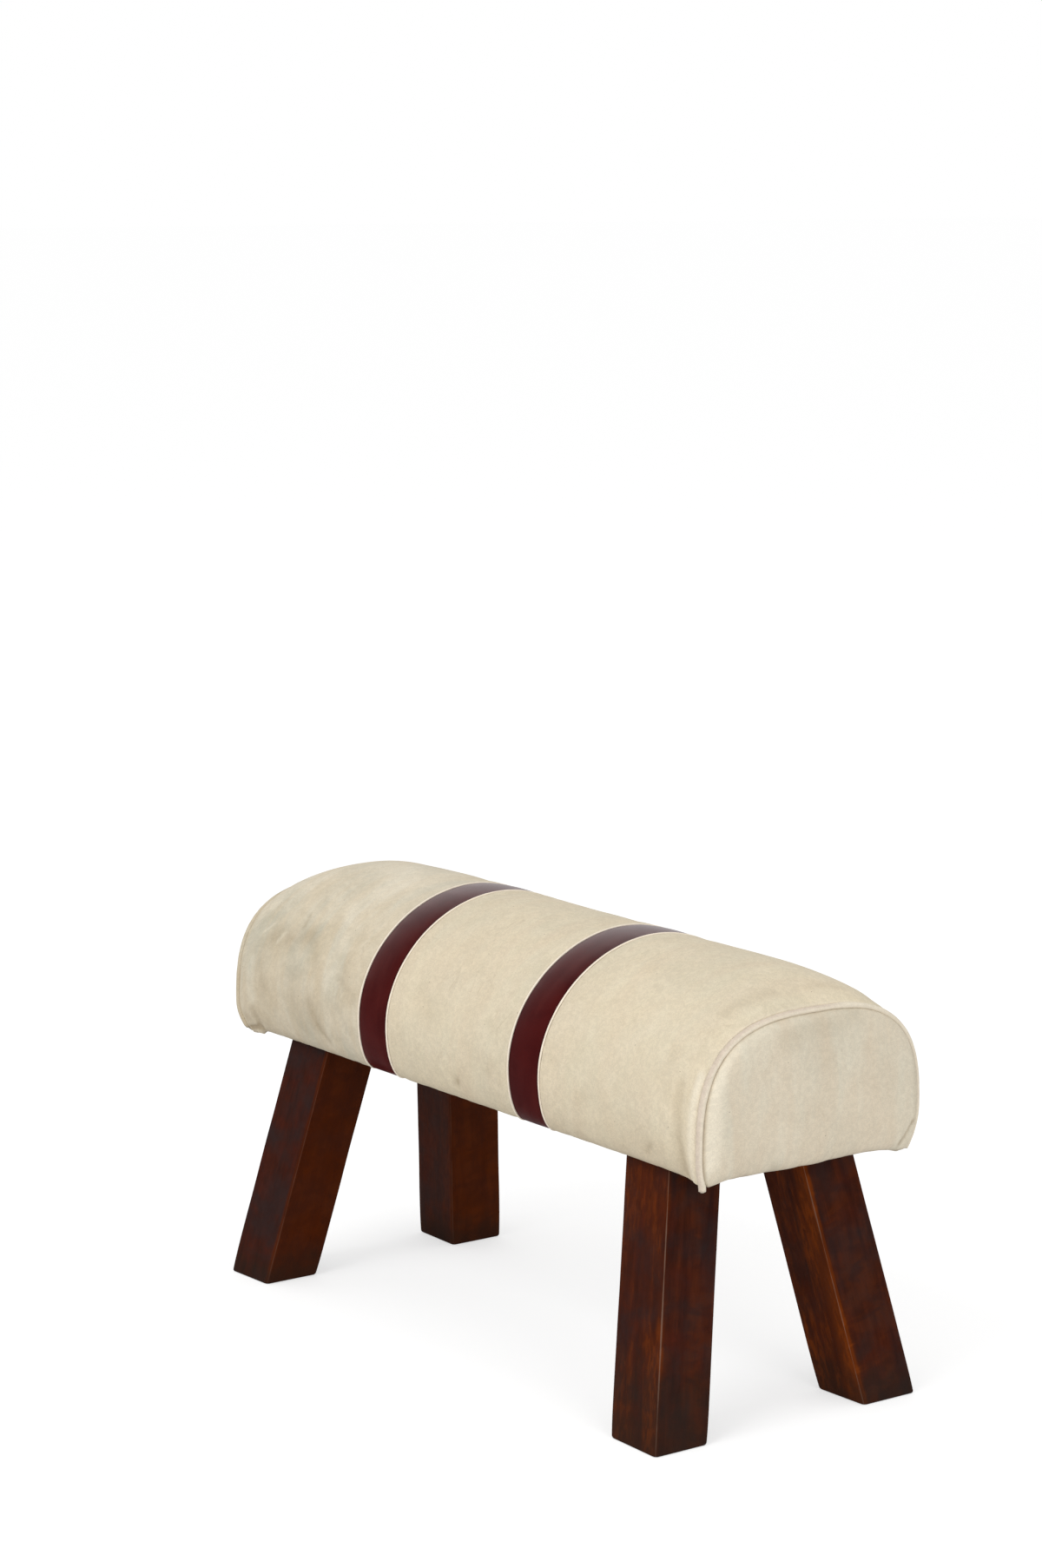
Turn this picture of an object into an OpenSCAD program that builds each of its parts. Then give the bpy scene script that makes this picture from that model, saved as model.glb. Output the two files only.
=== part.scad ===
// Shoe fitting stool: a long padded bench seat on four splayed timber legs.
// X runs along the seat, -Y is the front, and Z = 0 is the floor.

/* [Seat] */
// Length of the seat between its two end welts
seat_l = 810; // [720:1:960]
// Width of the seat at its widest line
seat_w = 300; // [280:1:340]
// Height of the padded seat from its underside to its top
seat_h = 190; // [170:1:220]
// Height of the widest line above the underside, at the middle of the seat
belly_rise = 60; // [52:1:66]
// Height of the widest line above the underside, at the end welts
end_belly_rise = 33.6; // [28:0.2:40]
// How far the underside edge lies in from the widest line, at the middle
belly_tuck = 24; // [20:1:26]
// How far the underside edge lies in from the widest line, at the end welts
end_belly_tuck = 10.4; // [8:0.2:14]
// How much lower the top is at the end welts than at the middle
crown_drop = 32.2; // [20:0.2:36]
// How much the seat narrows on each side from the middle to the end welts
end_narrowing = 6.6; // [3:0.2:9]
// How far the end panels bulge out past the end welts' outer side
end_crown = 9; // [6:0.5:12]

/* [Cover] */
// Thickness of the leather with its sewn-on backing
cover_t = 2.5; // [1.8:0.1:3]
// How much thinner the cover is pressed along its seams
seam_press = 1.1; // [0.6:0.1:1.3]
// Distance from the middle of the seat to the middle of each leather band
band_x = 133; // [110:1:160]
// Width of each leather band between its piping lines
band_w = 52; // [40:1:64]
// How far each band swells out above the seat
band_swell = 1.4; // [0.5:0.1:2]
// Width of the cover turned in under the frame
hem_w = 16; // [12:1:18]
// Radius of the welt around each end panel
welt_r = 3.3; // [2.6:0.1:3.6]
// Radius of the cord inside each welt
welt_cord_r = 1.9; // [1.4:0.1:2.1]
// Thickness of the leather around the welt cord
welt_skin = 1.2; // [0.8:0.1:1.3]
// How far the middle of the welt lies below the face of the cover
welt_sink = 1.5; // [1:0.1:2]
// How far the cut ends of the welts hang below the underside
welt_tail = 5.5; // [3:0.5:7]
// Radius of the piping beside each band
piping_r = 1.7; // [1.3:0.1:2]
// How far the middle of the piping lies below the face of the cover
piping_sink = 0.7; // [0.5:0.1:0.8]

/* [Padding] */
// Thickness of the wadding under the cover
wadding_t = 3; // [2:0.5:4]
// Thickness of the foam over the crown of the deck
foam_top = 48; // [36:1:54]

/* [Frame] */
// Thickness of the base board
board_t = 18; // [15:1:22]
// Thickness of the bent deck
deck_t = 4; // [3:0.5:6]
// Height of the straight lower wall of the deck
deck_wall_h = 31.2; // [27:0.2:36]
// Distance from the end welt's line in to the end of the timber frame
frame_inset = 13; // [11:0.5:16]
// Thickness of the end formers
former_t = 18; // [15:1:22]
// Thickness of the ribs between them
rib_t = 12; // [9:1:15]

/* [Legs] */
// Height of the seat's underside above the floor
leg_h = 276; // [240:1:320]
// Width of the square leg stock
leg_w = 67; // [58:1:74]
// Radius of the eased long edges of the legs
leg_edge_r = 3; // [2:0.5:5]
// Lean of each leg along the seat, as an angle in degrees
lean_along_deg = 10.7; // [6:0.05:12]
// Lean of each leg across the seat, as an angle in degrees
lean_across_deg = 10.65; // [6:0.05:12]
// Distance from the end welt's line in to the middle of a leg's top
leg_end_inset = 109.2; // [96:0.2:125]
// Distance from the base board's edge in to a leg's outer face
leg_edge_inset = 4.7; // [2:0.1:7]
// Length of the hardwood block above each leg, along the seat
block_l = 80; // [70:1:90]
// Width of the block above each leg
block_w = 62; // [58:1:68]
// Height of the block above each leg
block_h = 22; // [18:1:26]

/* [Fasteners] */
// Radius of the leg bolts
bolt_r = 4; // [3:0.5:5]
// Distance of each bolt from the middle of its leg, along and across
bolt_offset = 17; // [14:0.5:19]
// How far the bolts reach into the legs
bolt_reach = 18; // [14:1:24]
// Width across the flats of the bolt heads
bolt_head_w = 13; // [11:1:15]
// Height of the bolt heads
bolt_head_h = 5.3; // [4:0.1:7]
// Outer radius of the bolt washers
washer_r = 10; // [8:0.5:12]
// Thickness of the bolt washers
washer_t = 2; // [1.5:0.5:3]
// Outer radius of the threaded inserts in the legs
insert_r = 6; // [5.5:0.5:7]
// Length of the threaded inserts
insert_l = 20; // [16:1:26]
// Radius of the wood screws' shanks
screw_r = 2.2; // [1.8:0.1:2.6]
// Radius of the wood screws' countersunk heads
screw_head_r = 4.4; // [3.6:0.1:5]
// Length of the wood screws
screw_l = 45; // [38:1:50]
// Radius of the panel pins in the deck
pin_r = 0.8; // [0.6:0.1:1]
// Length of the panel pins
pin_l = 15; // [12:1:18]
// Number of panel pins along each side of the deck
pin_count = 8; // [5:1:12]
// Spacing of the staples
staple_pitch = 58; // [45:1:80]
// Width of a staple's crown
staple_w = 10; // [8:0.5:12]
// Length of a staple's legs
staple_l = 8; // [6:0.5:10]
// Thickness of the staple wire
staple_t = 0.6; // [0.5:0.1:0.8]

/* [Dust cover] */
// Thickness of the black cloth under the frame
dust_t = 0.6; // [0.4:0.1:1]
// Distance from the underside's edge in to the edge of the dust cover
dust_inset = 8; // [6:0.5:10]

/* [Hidden] */
$fn = 48;

cream = [0.84, 0.80, 0.70];
oxblood = [0.26, 0.09, 0.09];
mahogany = [0.26, 0.12, 0.08];
birch_ply = [0.80, 0.68, 0.50];
beech = [0.74, 0.58, 0.40];
foam_yellow = [0.92, 0.88, 0.70];
wadding_white = [0.93, 0.93, 0.91];
cord_white = [0.86, 0.84, 0.78];
cambric_black = [0.07, 0.07, 0.08];
zinc = [0.74, 0.75, 0.77];
brass_yellow = [0.76, 0.62, 0.34];

// Clearances: between soft layers, in glue lines, around bolts and screws, around staple legs
gap = 0.3;
glue_gap = 0.1;
shank_gap = 0.25;
thread_gap = 0.05;
slot_gap = 0.1;
leg_clear = 1.2;
overrun = 1;

// How sharply the crown turns down at the ends, and how square the section is at middle and end
crown_power = 11;
middle_power = 1.95;
end_power = 2.86;
dome_power = 4;

// Seam planes and the ends of the frame and the cover
seam_x = seat_l / 2;
frame_end = seam_x - frame_inset;
cover_end = seam_x - welt_r - gap;
end_panel_x = seam_x + welt_r + gap;
band_inner_x = band_x - band_w / 2;
band_outer_x = band_x + band_w / 2;
piping_half = piping_r + gap;

// Depths of the layers below the face of the cover
wadding_out = cover_t + gap;
wadding_in = wadding_out + wadding_t;
foam_out = wadding_in + gap;
end_foam_out = foam_out + 2 * gap;

// Levels
board_z = leg_h + cover_t + gap;
board_top = board_z + board_t;
block_top = board_top + block_h;
spring_z = board_z + deck_wall_h;
seat_top = leg_h + seat_h;
dust_top = leg_h - staple_t;
dust_z = dust_top - dust_t;

// The deck's arch: half width, rise and shoulder radius of its outer face
shoulder_share = 0.784;
arch_a = seat_w / 2 - belly_tuck - glue_gap;
arch_b = seat_top - foam_out - foam_top - spring_z;
arch_r = shoulder_share * arch_b;
board_half_w = arch_a - deck_t - glue_gap;

// Stations along the seat, as shares of the frame's half length, and steps in from a sewn edge
crown_shares = [0.57, 0.72, 0.82, 0.90, 0.955];
core_shares = [0.57, 0.82, 0.955];
seam_steps = [0, 4, 11];

// Angles around the section: up each side from the underside, and over the top
side_angles = [0, 24, 56];
pad_angles = [24, 56];
top_step = 10;

// Legs: tilt of the stock, the middle of its top, and the reach of its faces there
turn_y = -lean_along_deg;
turn_x = atan(tan(lean_across_deg) * cos(turn_y));
leg_reach = leg_w / 2 / cos(lean_across_deg);
leg_top_x = seam_x - leg_end_inset;
leg_top_y = board_half_w - leg_edge_inset - leg_reach;
notch_half = leg_w / 2 / cos(lean_along_deg) + 2 * leg_clear;
notch_y = leg_top_y + leg_reach + 2 * leg_clear;
notch_step = 0.5;

// Ribs stand clear of the leg blocks, and the inner pair shares the bay between the outer pair
rib_block_gap = 25;
rib_x = leg_top_x - block_l / 2 - rib_block_gap - rib_t / 2;
former_x = frame_end - former_t / 2;
screw_y_shares = [-0.62, 0, 0.62];
block_edge_gap = 10;
block_y = board_half_w - block_w / 2 - block_edge_gap;

// Staple lines
hem_staple_in = hem_w / 2;
end_staple_in = hem_w / 4;
dust_staple_in = 12;
dust_half_l = seam_x - dust_inset;
dust_half_w = seat_w / 2 - belly_tuck - dust_inset;

// Section of the seat

// Share of the way from the middle's section to the end's, at a station
function fade(x) = pow(min(abs(x) / seam_x, 1), crown_power);
function between(a, b, s) = a + (b - a) * s;
function half_width(x) = seat_w / 2 - end_narrowing * fade(x);
function belly_z(x) = leg_h + between(belly_rise, end_belly_rise, fade(x));
function top_z(x) = seat_top - crown_drop * fade(x);
function edge_y(x) = half_width(x) - between(belly_tuck, end_belly_tuck, fade(x));
function section_power(x) = between(middle_power, end_power, fade(x));

// A point on the lower side, at an angle up from the underside edge, d below the cover's face
function side_point(x, a, d) = [
    edge_y(x) + (half_width(x) - edge_y(x) - d) * sin(a),
    belly_z(x) - (belly_z(x) - leg_h - d) * cos(a)
];
// A point over the top, from the front's widest line at 0 to the back's at 180
function top_point(x, c, d) = [
    -(half_width(x) - d) * sign(cos(c)) * pow(abs(cos(c)), 2 / section_power(x)),
    belly_z(x) + (top_z(x) - belly_z(x) - d) * pow(abs(sin(c)), 2 / section_power(x))
];
function flipped(points) = [for (i = [len(points) - 1 : -1 : 0]) [-points[i].x, points[i].y]];
function arc_over(x, angles, d) = let (rise = [for (a = angles) let (p = side_point(x, a, d)) [-p.x, p.y]])
    concat(rise, [for (c = [0 : top_step : 180]) top_point(x, c, d)], flipped(rise));
// The same for the cover's face, where a press or swell dies away down the sides to the flat hem
function face_over(x, angles, d) = let (
    rise = [for (a = angles) let (p = side_point(x, a, d * sin(a))) [-p.x, p.y]]
) concat(rise, [for (c = [0 : top_step : 180]) top_point(x, c, d)], flipped(rise));

// Where the turned-in edge ends: short beside a leg, full width elsewhere
function by_leg(x) = abs(abs(x) - leg_top_x) < notch_half;
function hem_y(x) = by_leg(x) ? notch_y : edge_y(x) - hem_w;
function with_hems(x, path, level) = concat([[-hem_y(x), level]], path, [[hem_y(x), level]]);
function cover_face(x, d) = with_hems(x, face_over(x, side_angles, d), leg_h);
function cover_back(x) = with_hems(x, arc_over(x, side_angles, cover_t), leg_h + cover_t);
end_hem_half = edge_y(frame_end - hem_w / 2) - hem_w - leg_clear;

// Arch of the deck, t inside its outer face, from the front's foot to the back's
function arch_point(c, t) = let (
    up = c > 90 ? 180 - c : c,
    r = arch_r - t,
    big_r = (arch_a * arch_a + arch_b * arch_b - 2 * arch_a * arch_r) / (2 * (arch_b - arch_r)),
    big_z = arch_b - big_r,
    turn = atan2(-big_z, arch_a - arch_r),
    y = up < turn ? arch_a - arch_r + r * cos(up) : (big_r - t) * cos(up),
    z = up < turn ? r * sin(up) : big_z + (big_r - t) * sin(up)
) [c > 90 ? y : -y, spring_z + z];
function arch(t, foot_z) = concat(
    [[-(arch_a - t), foot_z]],
    [for (c = [0 : top_step : 180]) arch_point(c, t)],
    [[arch_a - t, foot_z]]);

// Lofted solids

function at_x(x, path) = [for (p = path) [x, p.x, p.y]];
function turned(list) = [for (i = [len(list) - 1 : -1 : 0]) list[i]];
function quad(a, b, c, d) = [[a, b, c], [a, c, d]];
function quad_across(a, b, c, d) = [[b, c, d], [b, d, a]];

// A shell lofted along X: each ring is an outer path and the matching inner path. Both faces are
// split along the same diagonals, mirrored on the left, so that nested layers stay clear.
module shell_loft(stations, outers, inners) {
    n = len(outers[0]);
    m = 2 * n;
    last = len(stations) - 1;
    points = [for (k = [0 : last]) each concat(
        at_x(stations[k], outers[k]), at_x(stations[k], turned(inners[k])))];
    sides = [for (k = [0 : last - 1]) for (j = [0 : m - 1])
        let (a = k * m + j, b = k * m + (j + 1) % m, left = stations[k] + stations[k + 1] < 0)
        each ((j < n) != left ? quad(a, b, b + m, a + m) : quad_across(a, b, b + m, a + m))];
    far_cap = [for (j = [0 : n - 2])
        each quad(last * m + j, last * m + j + 1, last * m + m - 2 - j, last * m + m - 1 - j)];
    near_cap = [for (j = [0 : n - 2]) each quad(j, m - 1 - j, m - 2 - j, j + 1)];
    polyhedron(points, concat(sides, far_cap, near_cap));
}

// Rings around a path in the plane X = x0
function heading(path, i) = let (
    v = path[min(i + 1, len(path) - 1)] - path[max(i - 1, 0)]) v / norm(v);
function tube_rings(path, x0, r, sides) = [for (i = [0 : len(path) - 1]) let (t = heading(path, i))
    for (j = [0 : sides - 1]) let (u = r * cos(360 * j / sides), v = r * sin(360 * j / sides))
        [x0 + v, path[i].x - t.y * u, path[i].y + t.x * u]];
function tube_sides(n, m, from) = [for (i = [0 : n - 2]) for (j = [0 : m - 1])
    let (a = from + i * m, b = (j + 1) % m) each quad(a + j, a + m + j, a + m + b, a + b)];

module solid_tube(path, x0, r, sides) {
    n = len(path);
    start = [for (j = [0 : sides - 1]) j];
    end = [for (j = [sides - 1 : -1 : 0]) (n - 1) * sides + j];
    fan = function (loop) [for (j = [1 : len(loop) - 2]) [loop[0], loop[j], loop[j + 1]]];
    polyhedron(tube_rings(path, x0, r, sides), concat(tube_sides(n, sides, 0), fan(start), fan(end)));
}

module hollow_tube(path, x0, r, bore_r, sides) {
    n = len(path);
    total = n * sides;
    inside = [for (f = tube_sides(n, sides, total)) turned(f)];
    start = [for (j = [0 : sides - 1]) let (b = (j + 1) % sides) each quad(j, b, total + b, total + j)];
    first = total - sides;
    end = [for (j = [0 : sides - 1]) let (b = (j + 1) % sides)
        each quad(first + b, first + j, total + first + j, total + first + b)];
    polyhedron(
        concat(tube_rings(path, x0, r, sides), tube_rings(path, x0, bore_r, sides)),
        concat(tube_sides(n, sides, 0), inside, start, end));
}

// A domed D shape: closed outlines shrunk towards the middle of the end panel
dome_shares = [1, 0.93, 0.8, 0.5];
floor_shares = [0.5, 0, -0.5];
dome_y = 0;
dome_z = leg_h + (seat_h - crown_drop) / 2;
function d_outline(d) = concat(
    arc_over(seam_x, side_angles, d), [for (s = floor_shares) [s * edge_y(seam_x), leg_h + d]]);
function dome_ring(outline, share, x, bulge) = [for (p = outline) [
    x + bulge * (1 - pow(share, dome_power)),
    between(dome_y, p.x, share),
    between(dome_z, p.y, share)
]];
function dome_points(outline, x, bulge) = concat(
    [for (s = dome_shares) each dome_ring(outline, s, x, bulge)], [[x + bulge, dome_y, dome_z]]);
function dome_faces(m, from) = let (rings = len(dome_shares), tip = from + rings * m) concat(
    [for (k = [0 : rings - 2]) for (j = [0 : m - 1]) let (a = from + k * m, b = (j + 1) % m)
        each quad(a + j, a + b, a + m + b, a + m + j)],
    [for (j = [0 : m - 1]) let (a = from + (rings - 1) * m) [a + j, a + (j + 1) % m, tip]]);

// Mirrored copies

module on_left(left) {
    if (left) mirror([1, 0, 0]) children();
    else children();
}
module at_leg(sx, sy) {
    mirror([sx < 0 ? 1 : 0, 0, 0]) mirror([0, sy < 0 ? 1 : 0, 0]) children();
}
module each_leg() {
    for (sx = [-1, 1]) for (sy = [-1, 1]) at_leg(sx, sy) children();
}
module each_bolt() {
    for (s = [-1, 1]) translate([leg_top_x + s * bolt_offset, leg_top_y - s * bolt_offset, 0]) children();
}

// Fastener places

rib_places = [-former_x, -rib_x, -rib_x / 3, rib_x / 3, rib_x, former_x];
screw_places = [for (x = rib_places) for (s = screw_y_shares) [x, s * board_half_w]];
pin_places = [for (i = [0 : pin_count - 1]) former_x * (2 * i / (pin_count - 1) - 1)];

// Staples stand along X or across it: [x, y, turn]
function clear_of_legs(x) = abs(abs(x) - leg_top_x) > notch_half + staple_w;
function clear_of_seams(x) = min(abs(abs(x) - band_inner_x), abs(abs(x) - band_outer_x)) > staple_w;
function spread(half, pitch) = let (n = floor(2 * half / pitch)) [for (i = [0 : n]) (i - n / 2) * pitch];
side_staple_x = [for (x = spread(frame_end - hem_w, staple_pitch)) if (clear_of_legs(x)) x];
hem_staple_places = concat(
    [for (x = side_staple_x) if (clear_of_seams(x)) for (s = [-1, 1]) [x, s * (edge_y(x) - hem_staple_in), 0]],
    [for (y = spread(end_hem_half - staple_w, staple_pitch)) for (s = [-1, 1])
        [s * (frame_end - end_staple_in), y, 90]]);
dust_staple_places = concat(
    [for (x = side_staple_x) for (s = [-1, 1]) [x, s * (dust_half_w - dust_staple_in), 0]],
    [for (y = spread(dust_half_w - hem_w - dust_staple_in, staple_pitch)) for (s = [-1, 1])
        [s * (dust_half_l - dust_inset - dust_staple_in), y, 90]]);

module staples(places, crown_z) {
    for (p = places) translate([p.x, p.y, crown_z]) rotate([0, 0, p.z]) {
        translate([-staple_w / 2, -staple_t, -staple_t]) cube([staple_w, 2 * staple_t, staple_t]);
        for (s = [0, 1]) translate([s * (staple_w - staple_t) - staple_w / 2, -staple_t, -staple_t])
            cube([staple_t, 2 * staple_t, staple_l + staple_t]);
    }
}
module staple_slots(places, crown_z) {
    for (p = places) translate([p.x, p.y, crown_z]) rotate([0, 0, p.z])
        for (s = [-1, 1])
            translate([s * (staple_w - staple_t) / 2, 0, (staple_l + slot_gap - overrun) / 2]) cube([
                staple_t + 2 * slot_gap, 2 * (staple_t + slot_gap), staple_l + slot_gap + overrun
            ], center = true);
}

// Sub-parts: timber frame

module base_board() {
    color(birch_ply) difference() {
        translate([-frame_end, -board_half_w, board_z])
            cube([2 * frame_end, 2 * board_half_w, board_t]);
        each_leg() each_bolt() translate([0, 0, board_z - overrun])
            cylinder(r = bolt_r + shank_gap, h = board_t + 2 * overrun);
        for (p = screw_places) translate([p.x, p.y, board_z]) {
            translate([0, 0, -overrun]) cylinder(r = screw_r + shank_gap, h = board_t + 2 * overrun);
            screw_head(shank_gap);
        }
        for (x = pin_places) for (s = [-1, 1]) translate([x, s * arch_a, board_z + board_t / 2])
            rotate([s * 90, 0, 0]) cylinder(r = pin_r + thread_gap, h = pin_l + gap);
        staple_slots(hem_staple_places, leg_h);
        staple_slots(dust_staple_places, dust_z);
    }
}

// A countersunk head whose rim lies in the board's lower face
module screw_head(grow) {
    cylinder(r1 = screw_head_r + grow, r2 = screw_r + grow, h = screw_head_r - screw_r);
}

module rounded_stock(w, r) {
    square([w, w - 2 * r], center = true);
    square([w - 2 * r, w], center = true);
    for (x = [-1, 1]) for (y = [-1, 1]) translate([x * (w / 2 - r), y * (w / 2 - r)]) circle(r = r);
}

// The leg of the +X +Y corner, grown by a clearance where another piece is cut to clear it
module leg_stock(grow, top) {
    stock_l = 2 * leg_h;
    intersection() {
        translate([leg_top_x, leg_top_y, board_z]) rotate([turn_x, turn_y, 0])
            translate([0, 0, -stock_l]) linear_extrude(height = stock_l + leg_w)
                rounded_stock(leg_w + 2 * grow, leg_edge_r);
        cube([2 * leg_top_x, 2 * leg_top_x, top]);
    }
}

module leg() {
    color(mahogany) difference() {
        leg_stock(0, board_z);
        each_bolt() translate([0, 0, board_z - insert_l - gap])
            cylinder(r = insert_r + thread_gap, h = insert_l + gap + overrun);
    }
}
module leg_front_left() at_leg(-1, -1) leg();
module leg_front_right() at_leg(1, -1) leg();
module leg_back_left() at_leg(-1, 1) leg();
module leg_back_right() at_leg(1, 1) leg();

module leg_block() {
    color(beech) difference() {
        translate([leg_top_x - block_l / 2, block_y - block_w / 2, board_top])
            cube([block_l, block_w, block_h]);
        each_bolt() translate([0, 0, board_top - overrun])
            cylinder(r = bolt_r + shank_gap, h = block_h + 2 * overrun);
    }
}
module leg_block_front_left() at_leg(-1, -1) leg_block();
module leg_block_front_right() at_leg(1, -1) leg_block();
module leg_block_back_left() at_leg(-1, 1) leg_block();
module leg_block_back_right() at_leg(1, 1) leg_block();

module leg_bolts() {
    shank_l = washer_t + block_h + board_t + bolt_reach;
    color(zinc) each_leg() each_bolt() translate([0, 0, block_top + washer_t]) {
        translate([0, 0, -shank_l]) cylinder(r = bolt_r, h = shank_l);
        cylinder(r = bolt_head_w / 2 / cos(30), h = bolt_head_h, $fn = 6);
    }
}

module leg_washers() {
    color(zinc) each_leg() each_bolt() translate([0, 0, block_top]) difference() {
        cylinder(r = washer_r, h = washer_t);
        translate([0, 0, -overrun]) cylinder(r = bolt_r + shank_gap, h = washer_t + 2 * overrun);
    }
}

module leg_inserts() {
    color(brass_yellow) each_leg() each_bolt() translate([0, 0, board_z - insert_l]) difference() {
        cylinder(r = insert_r, h = insert_l);
        translate([0, 0, -overrun]) cylinder(r = bolt_r + thread_gap, h = insert_l + 2 * overrun);
    }
}

// A rib or former standing on the board under the deck, from x to x + t
module arch_panel(x, t) {
    color(birch_ply) difference() {
        translate([x, 0, 0]) rotate([90, 0, 90]) linear_extrude(height = t)
            polygon(arch(deck_t + glue_gap, board_top));
        for (s = screw_y_shares) translate([x + t / 2, s * board_half_w, board_top - overrun])
            cylinder(r = screw_r + thread_gap, h = screw_l - board_t + gap + overrun);
    }
}
module end_former_left() arch_panel(-frame_end, former_t);
module end_former_right() arch_panel(frame_end - former_t, former_t);
module rib_outer_left() arch_panel(-rib_x - rib_t / 2, rib_t);
module rib_inner_left() arch_panel(-rib_x / 3 - rib_t / 2, rib_t);
module rib_inner_right() arch_panel(rib_x / 3 - rib_t / 2, rib_t);
module rib_outer_right() arch_panel(rib_x - rib_t / 2, rib_t);

module rib_screws() {
    color(zinc) for (p = screw_places) translate([p.x, p.y, board_z]) {
        cylinder(r = screw_r, h = screw_l);
        screw_head(0);
    }
}

module deck() {
    color(birch_ply) difference() {
        translate([-frame_end, 0, 0]) rotate([90, 0, 90]) linear_extrude(height = 2 * frame_end)
            polygon(concat(arch(0, board_z), turned(arch(deck_t, board_z))));
        for (x = pin_places) for (s = [-1, 1])
            translate([x, s * (arch_a + overrun), board_z + board_t / 2])
                rotate([s * 90, 0, 0]) cylinder(r = pin_r + thread_gap, h = deck_t + 2 * overrun);
    }
}

module deck_pins() {
    color(zinc) for (x = pin_places) for (s = [-1, 1])
        translate([x, s * arch_a, board_z + board_t / 2])
            rotate([s * 90, 0, 0]) cylinder(r = pin_r, h = pin_l);
}

// Sub-parts: padding

core_stations = let (half = concat([for (s = core_shares) s * frame_end], [frame_end]))
    concat(-turned(half), half);
wadding_stations = concat([-cover_end], core_stations, [cover_end]);

// The foam's inner face: up the deck's wall beside each step of the outer path, then over the arch
function foam_inner(x) = let (
    y = arch_a + gap,
    foot = pad_angles[0],
    wall = [for (a = pad_angles)
        [-y, between(side_point(x, foot, foam_out).y, spring_z, (a - foot) / (90 - foot))]]
) concat(wall, [for (c = [0 : top_step : 180]) arch_point(c, -gap)], flipped(wall));

module foam_pad() {
    color(foam_yellow) shell_loft(core_stations,
        [for (x = core_stations) arc_over(x, pad_angles, foam_out)],
        [for (x = core_stations) foam_inner(x)]);
}

module wadding() {
    color(wadding_white) shell_loft(wadding_stations,
        [for (x = wadding_stations) arc_over(x, pad_angles, wadding_out)],
        [for (x = wadding_stations) arc_over(x, pad_angles, wadding_in)]);
}

// Foam between the end former and the end panel, flat behind and domed in front
module end_foam(left) {
    outline = d_outline(end_foam_out);
    m = len(outline);
    back_x = frame_end + gap;
    back = concat([[back_x, dome_y, dome_z]], [for (p = outline) [back_x, p.x, p.y]]);
    lid = [for (j = [0 : m - 1]) [0, 1 + (j + 1) % m, 1 + j]];
    wall = [for (j = [0 : m - 1]) let (a = 1 + j, b = 1 + (j + 1) % m) each quad(a, b, m + b, m + a)];
    color(foam_yellow) on_left(left) polyhedron(
        concat(back, dome_points(outline, end_panel_x - gap, end_crown - cover_t)),
        concat(lid, wall, dome_faces(m, m + 1)));
}
module end_foam_left() end_foam(true);
module end_foam_right() end_foam(false);

// Sub-parts: cover

// How far the face is pressed in at a distance from a sewn edge
function pressed(from_edge) = seam_press * max(1 - from_edge / seam_steps[2], 0);

module cover_shell(stations, faces) {
    difference() {
        shell_loft(stations,
            [for (k = [0 : len(stations) - 1]) cover_face(stations[k], faces[k])],
            [for (x = stations) cover_back(x)]);
        staple_slots([for (p = hem_staple_places)
            if (p.z == 0 && p.x > stations[0] && p.x < stations[len(stations) - 1]) p], leg_h);
    }
}

// A side panel runs from its band's outer piping to the end welt
module side_panel(left) {
    start = band_outer_x + piping_half;
    notch = [for (s = [-1, 1]) each [
        leg_top_x + s * notch_half - notch_step, leg_top_x + s * notch_half + notch_step]];
    crown = [for (s = crown_shares) s * frame_end];
    inner = [for (s = seam_steps) start + s];
    middle = [for (x = concat(notch, crown)) if (x > inner[2] && x < frame_end) x];
    stations = concat(inner, sorted(middle), [frame_end, cover_end]);
    faces = [for (x = stations) max(pressed(x - start), x == cover_end ? seam_press : 0)];
    color(cream) on_left(left) cover_shell(stations, faces);
}
function sorted(v) = len(v) < 2 ? v : let (p = v[0]) concat(
    sorted([for (x = v) if (x < p) x]), [p], sorted([for (x = v) if (x > p) x]));
module panel_left() side_panel(true);
module panel_right() side_panel(false);

module panel_centre() {
    end = band_inner_x - piping_half;
    half = [for (s = turned(seam_steps)) end - s];
    stations = concat(-turned(half), half);
    color(cream) cover_shell(stations, [for (x = stations) pressed(end - abs(x))]);
}

// Bands swell between their piping lines
module band(left) {
    half = band_w / 2 - piping_half;
    stations = [for (s = [-1, -1 / 2, 0, 1 / 2, 1]) band_x + s * half];
    faces = [for (x = stations) let (s = (x - band_x) / half)
        seam_press - (seam_press + band_swell) * (1 - s * s)];
    color(oxblood) on_left(left) cover_shell(stations, faces);
}
module band_left() band(true);
module band_right() band(false);

module end_panel(left) {
    outer = d_outline(seam_press);
    inner = d_outline(seam_press + cover_t);
    m = len(outer);
    total = len(dome_shares) * m + 1;
    inside = [for (f = dome_faces(m, total)) turned(f)];
    rim = [for (j = [0 : m - 1]) let (b = (j + 1) % m) each quad(j, total + j, total + b, b)];
    color(cream) on_left(left) difference() {
        union() {
            polyhedron(
                concat(
                    dome_points(outer, end_panel_x, end_crown),
                    dome_points(inner, end_panel_x, end_crown - cover_t)),
                concat(dome_faces(m, 0), inside, rim));
            translate([frame_end - hem_w / 2, -end_hem_half, leg_h])
                cube([end_panel_x + gap - frame_end + hem_w / 2, 2 * end_hem_half, cover_t]);
        }
        staple_slots([for (p = hem_staple_places) if (p.z > 0 && p.x > 0) p], leg_h);
    }
}
module end_panel_left() end_panel(true);
module end_panel_right() end_panel(false);

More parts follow.
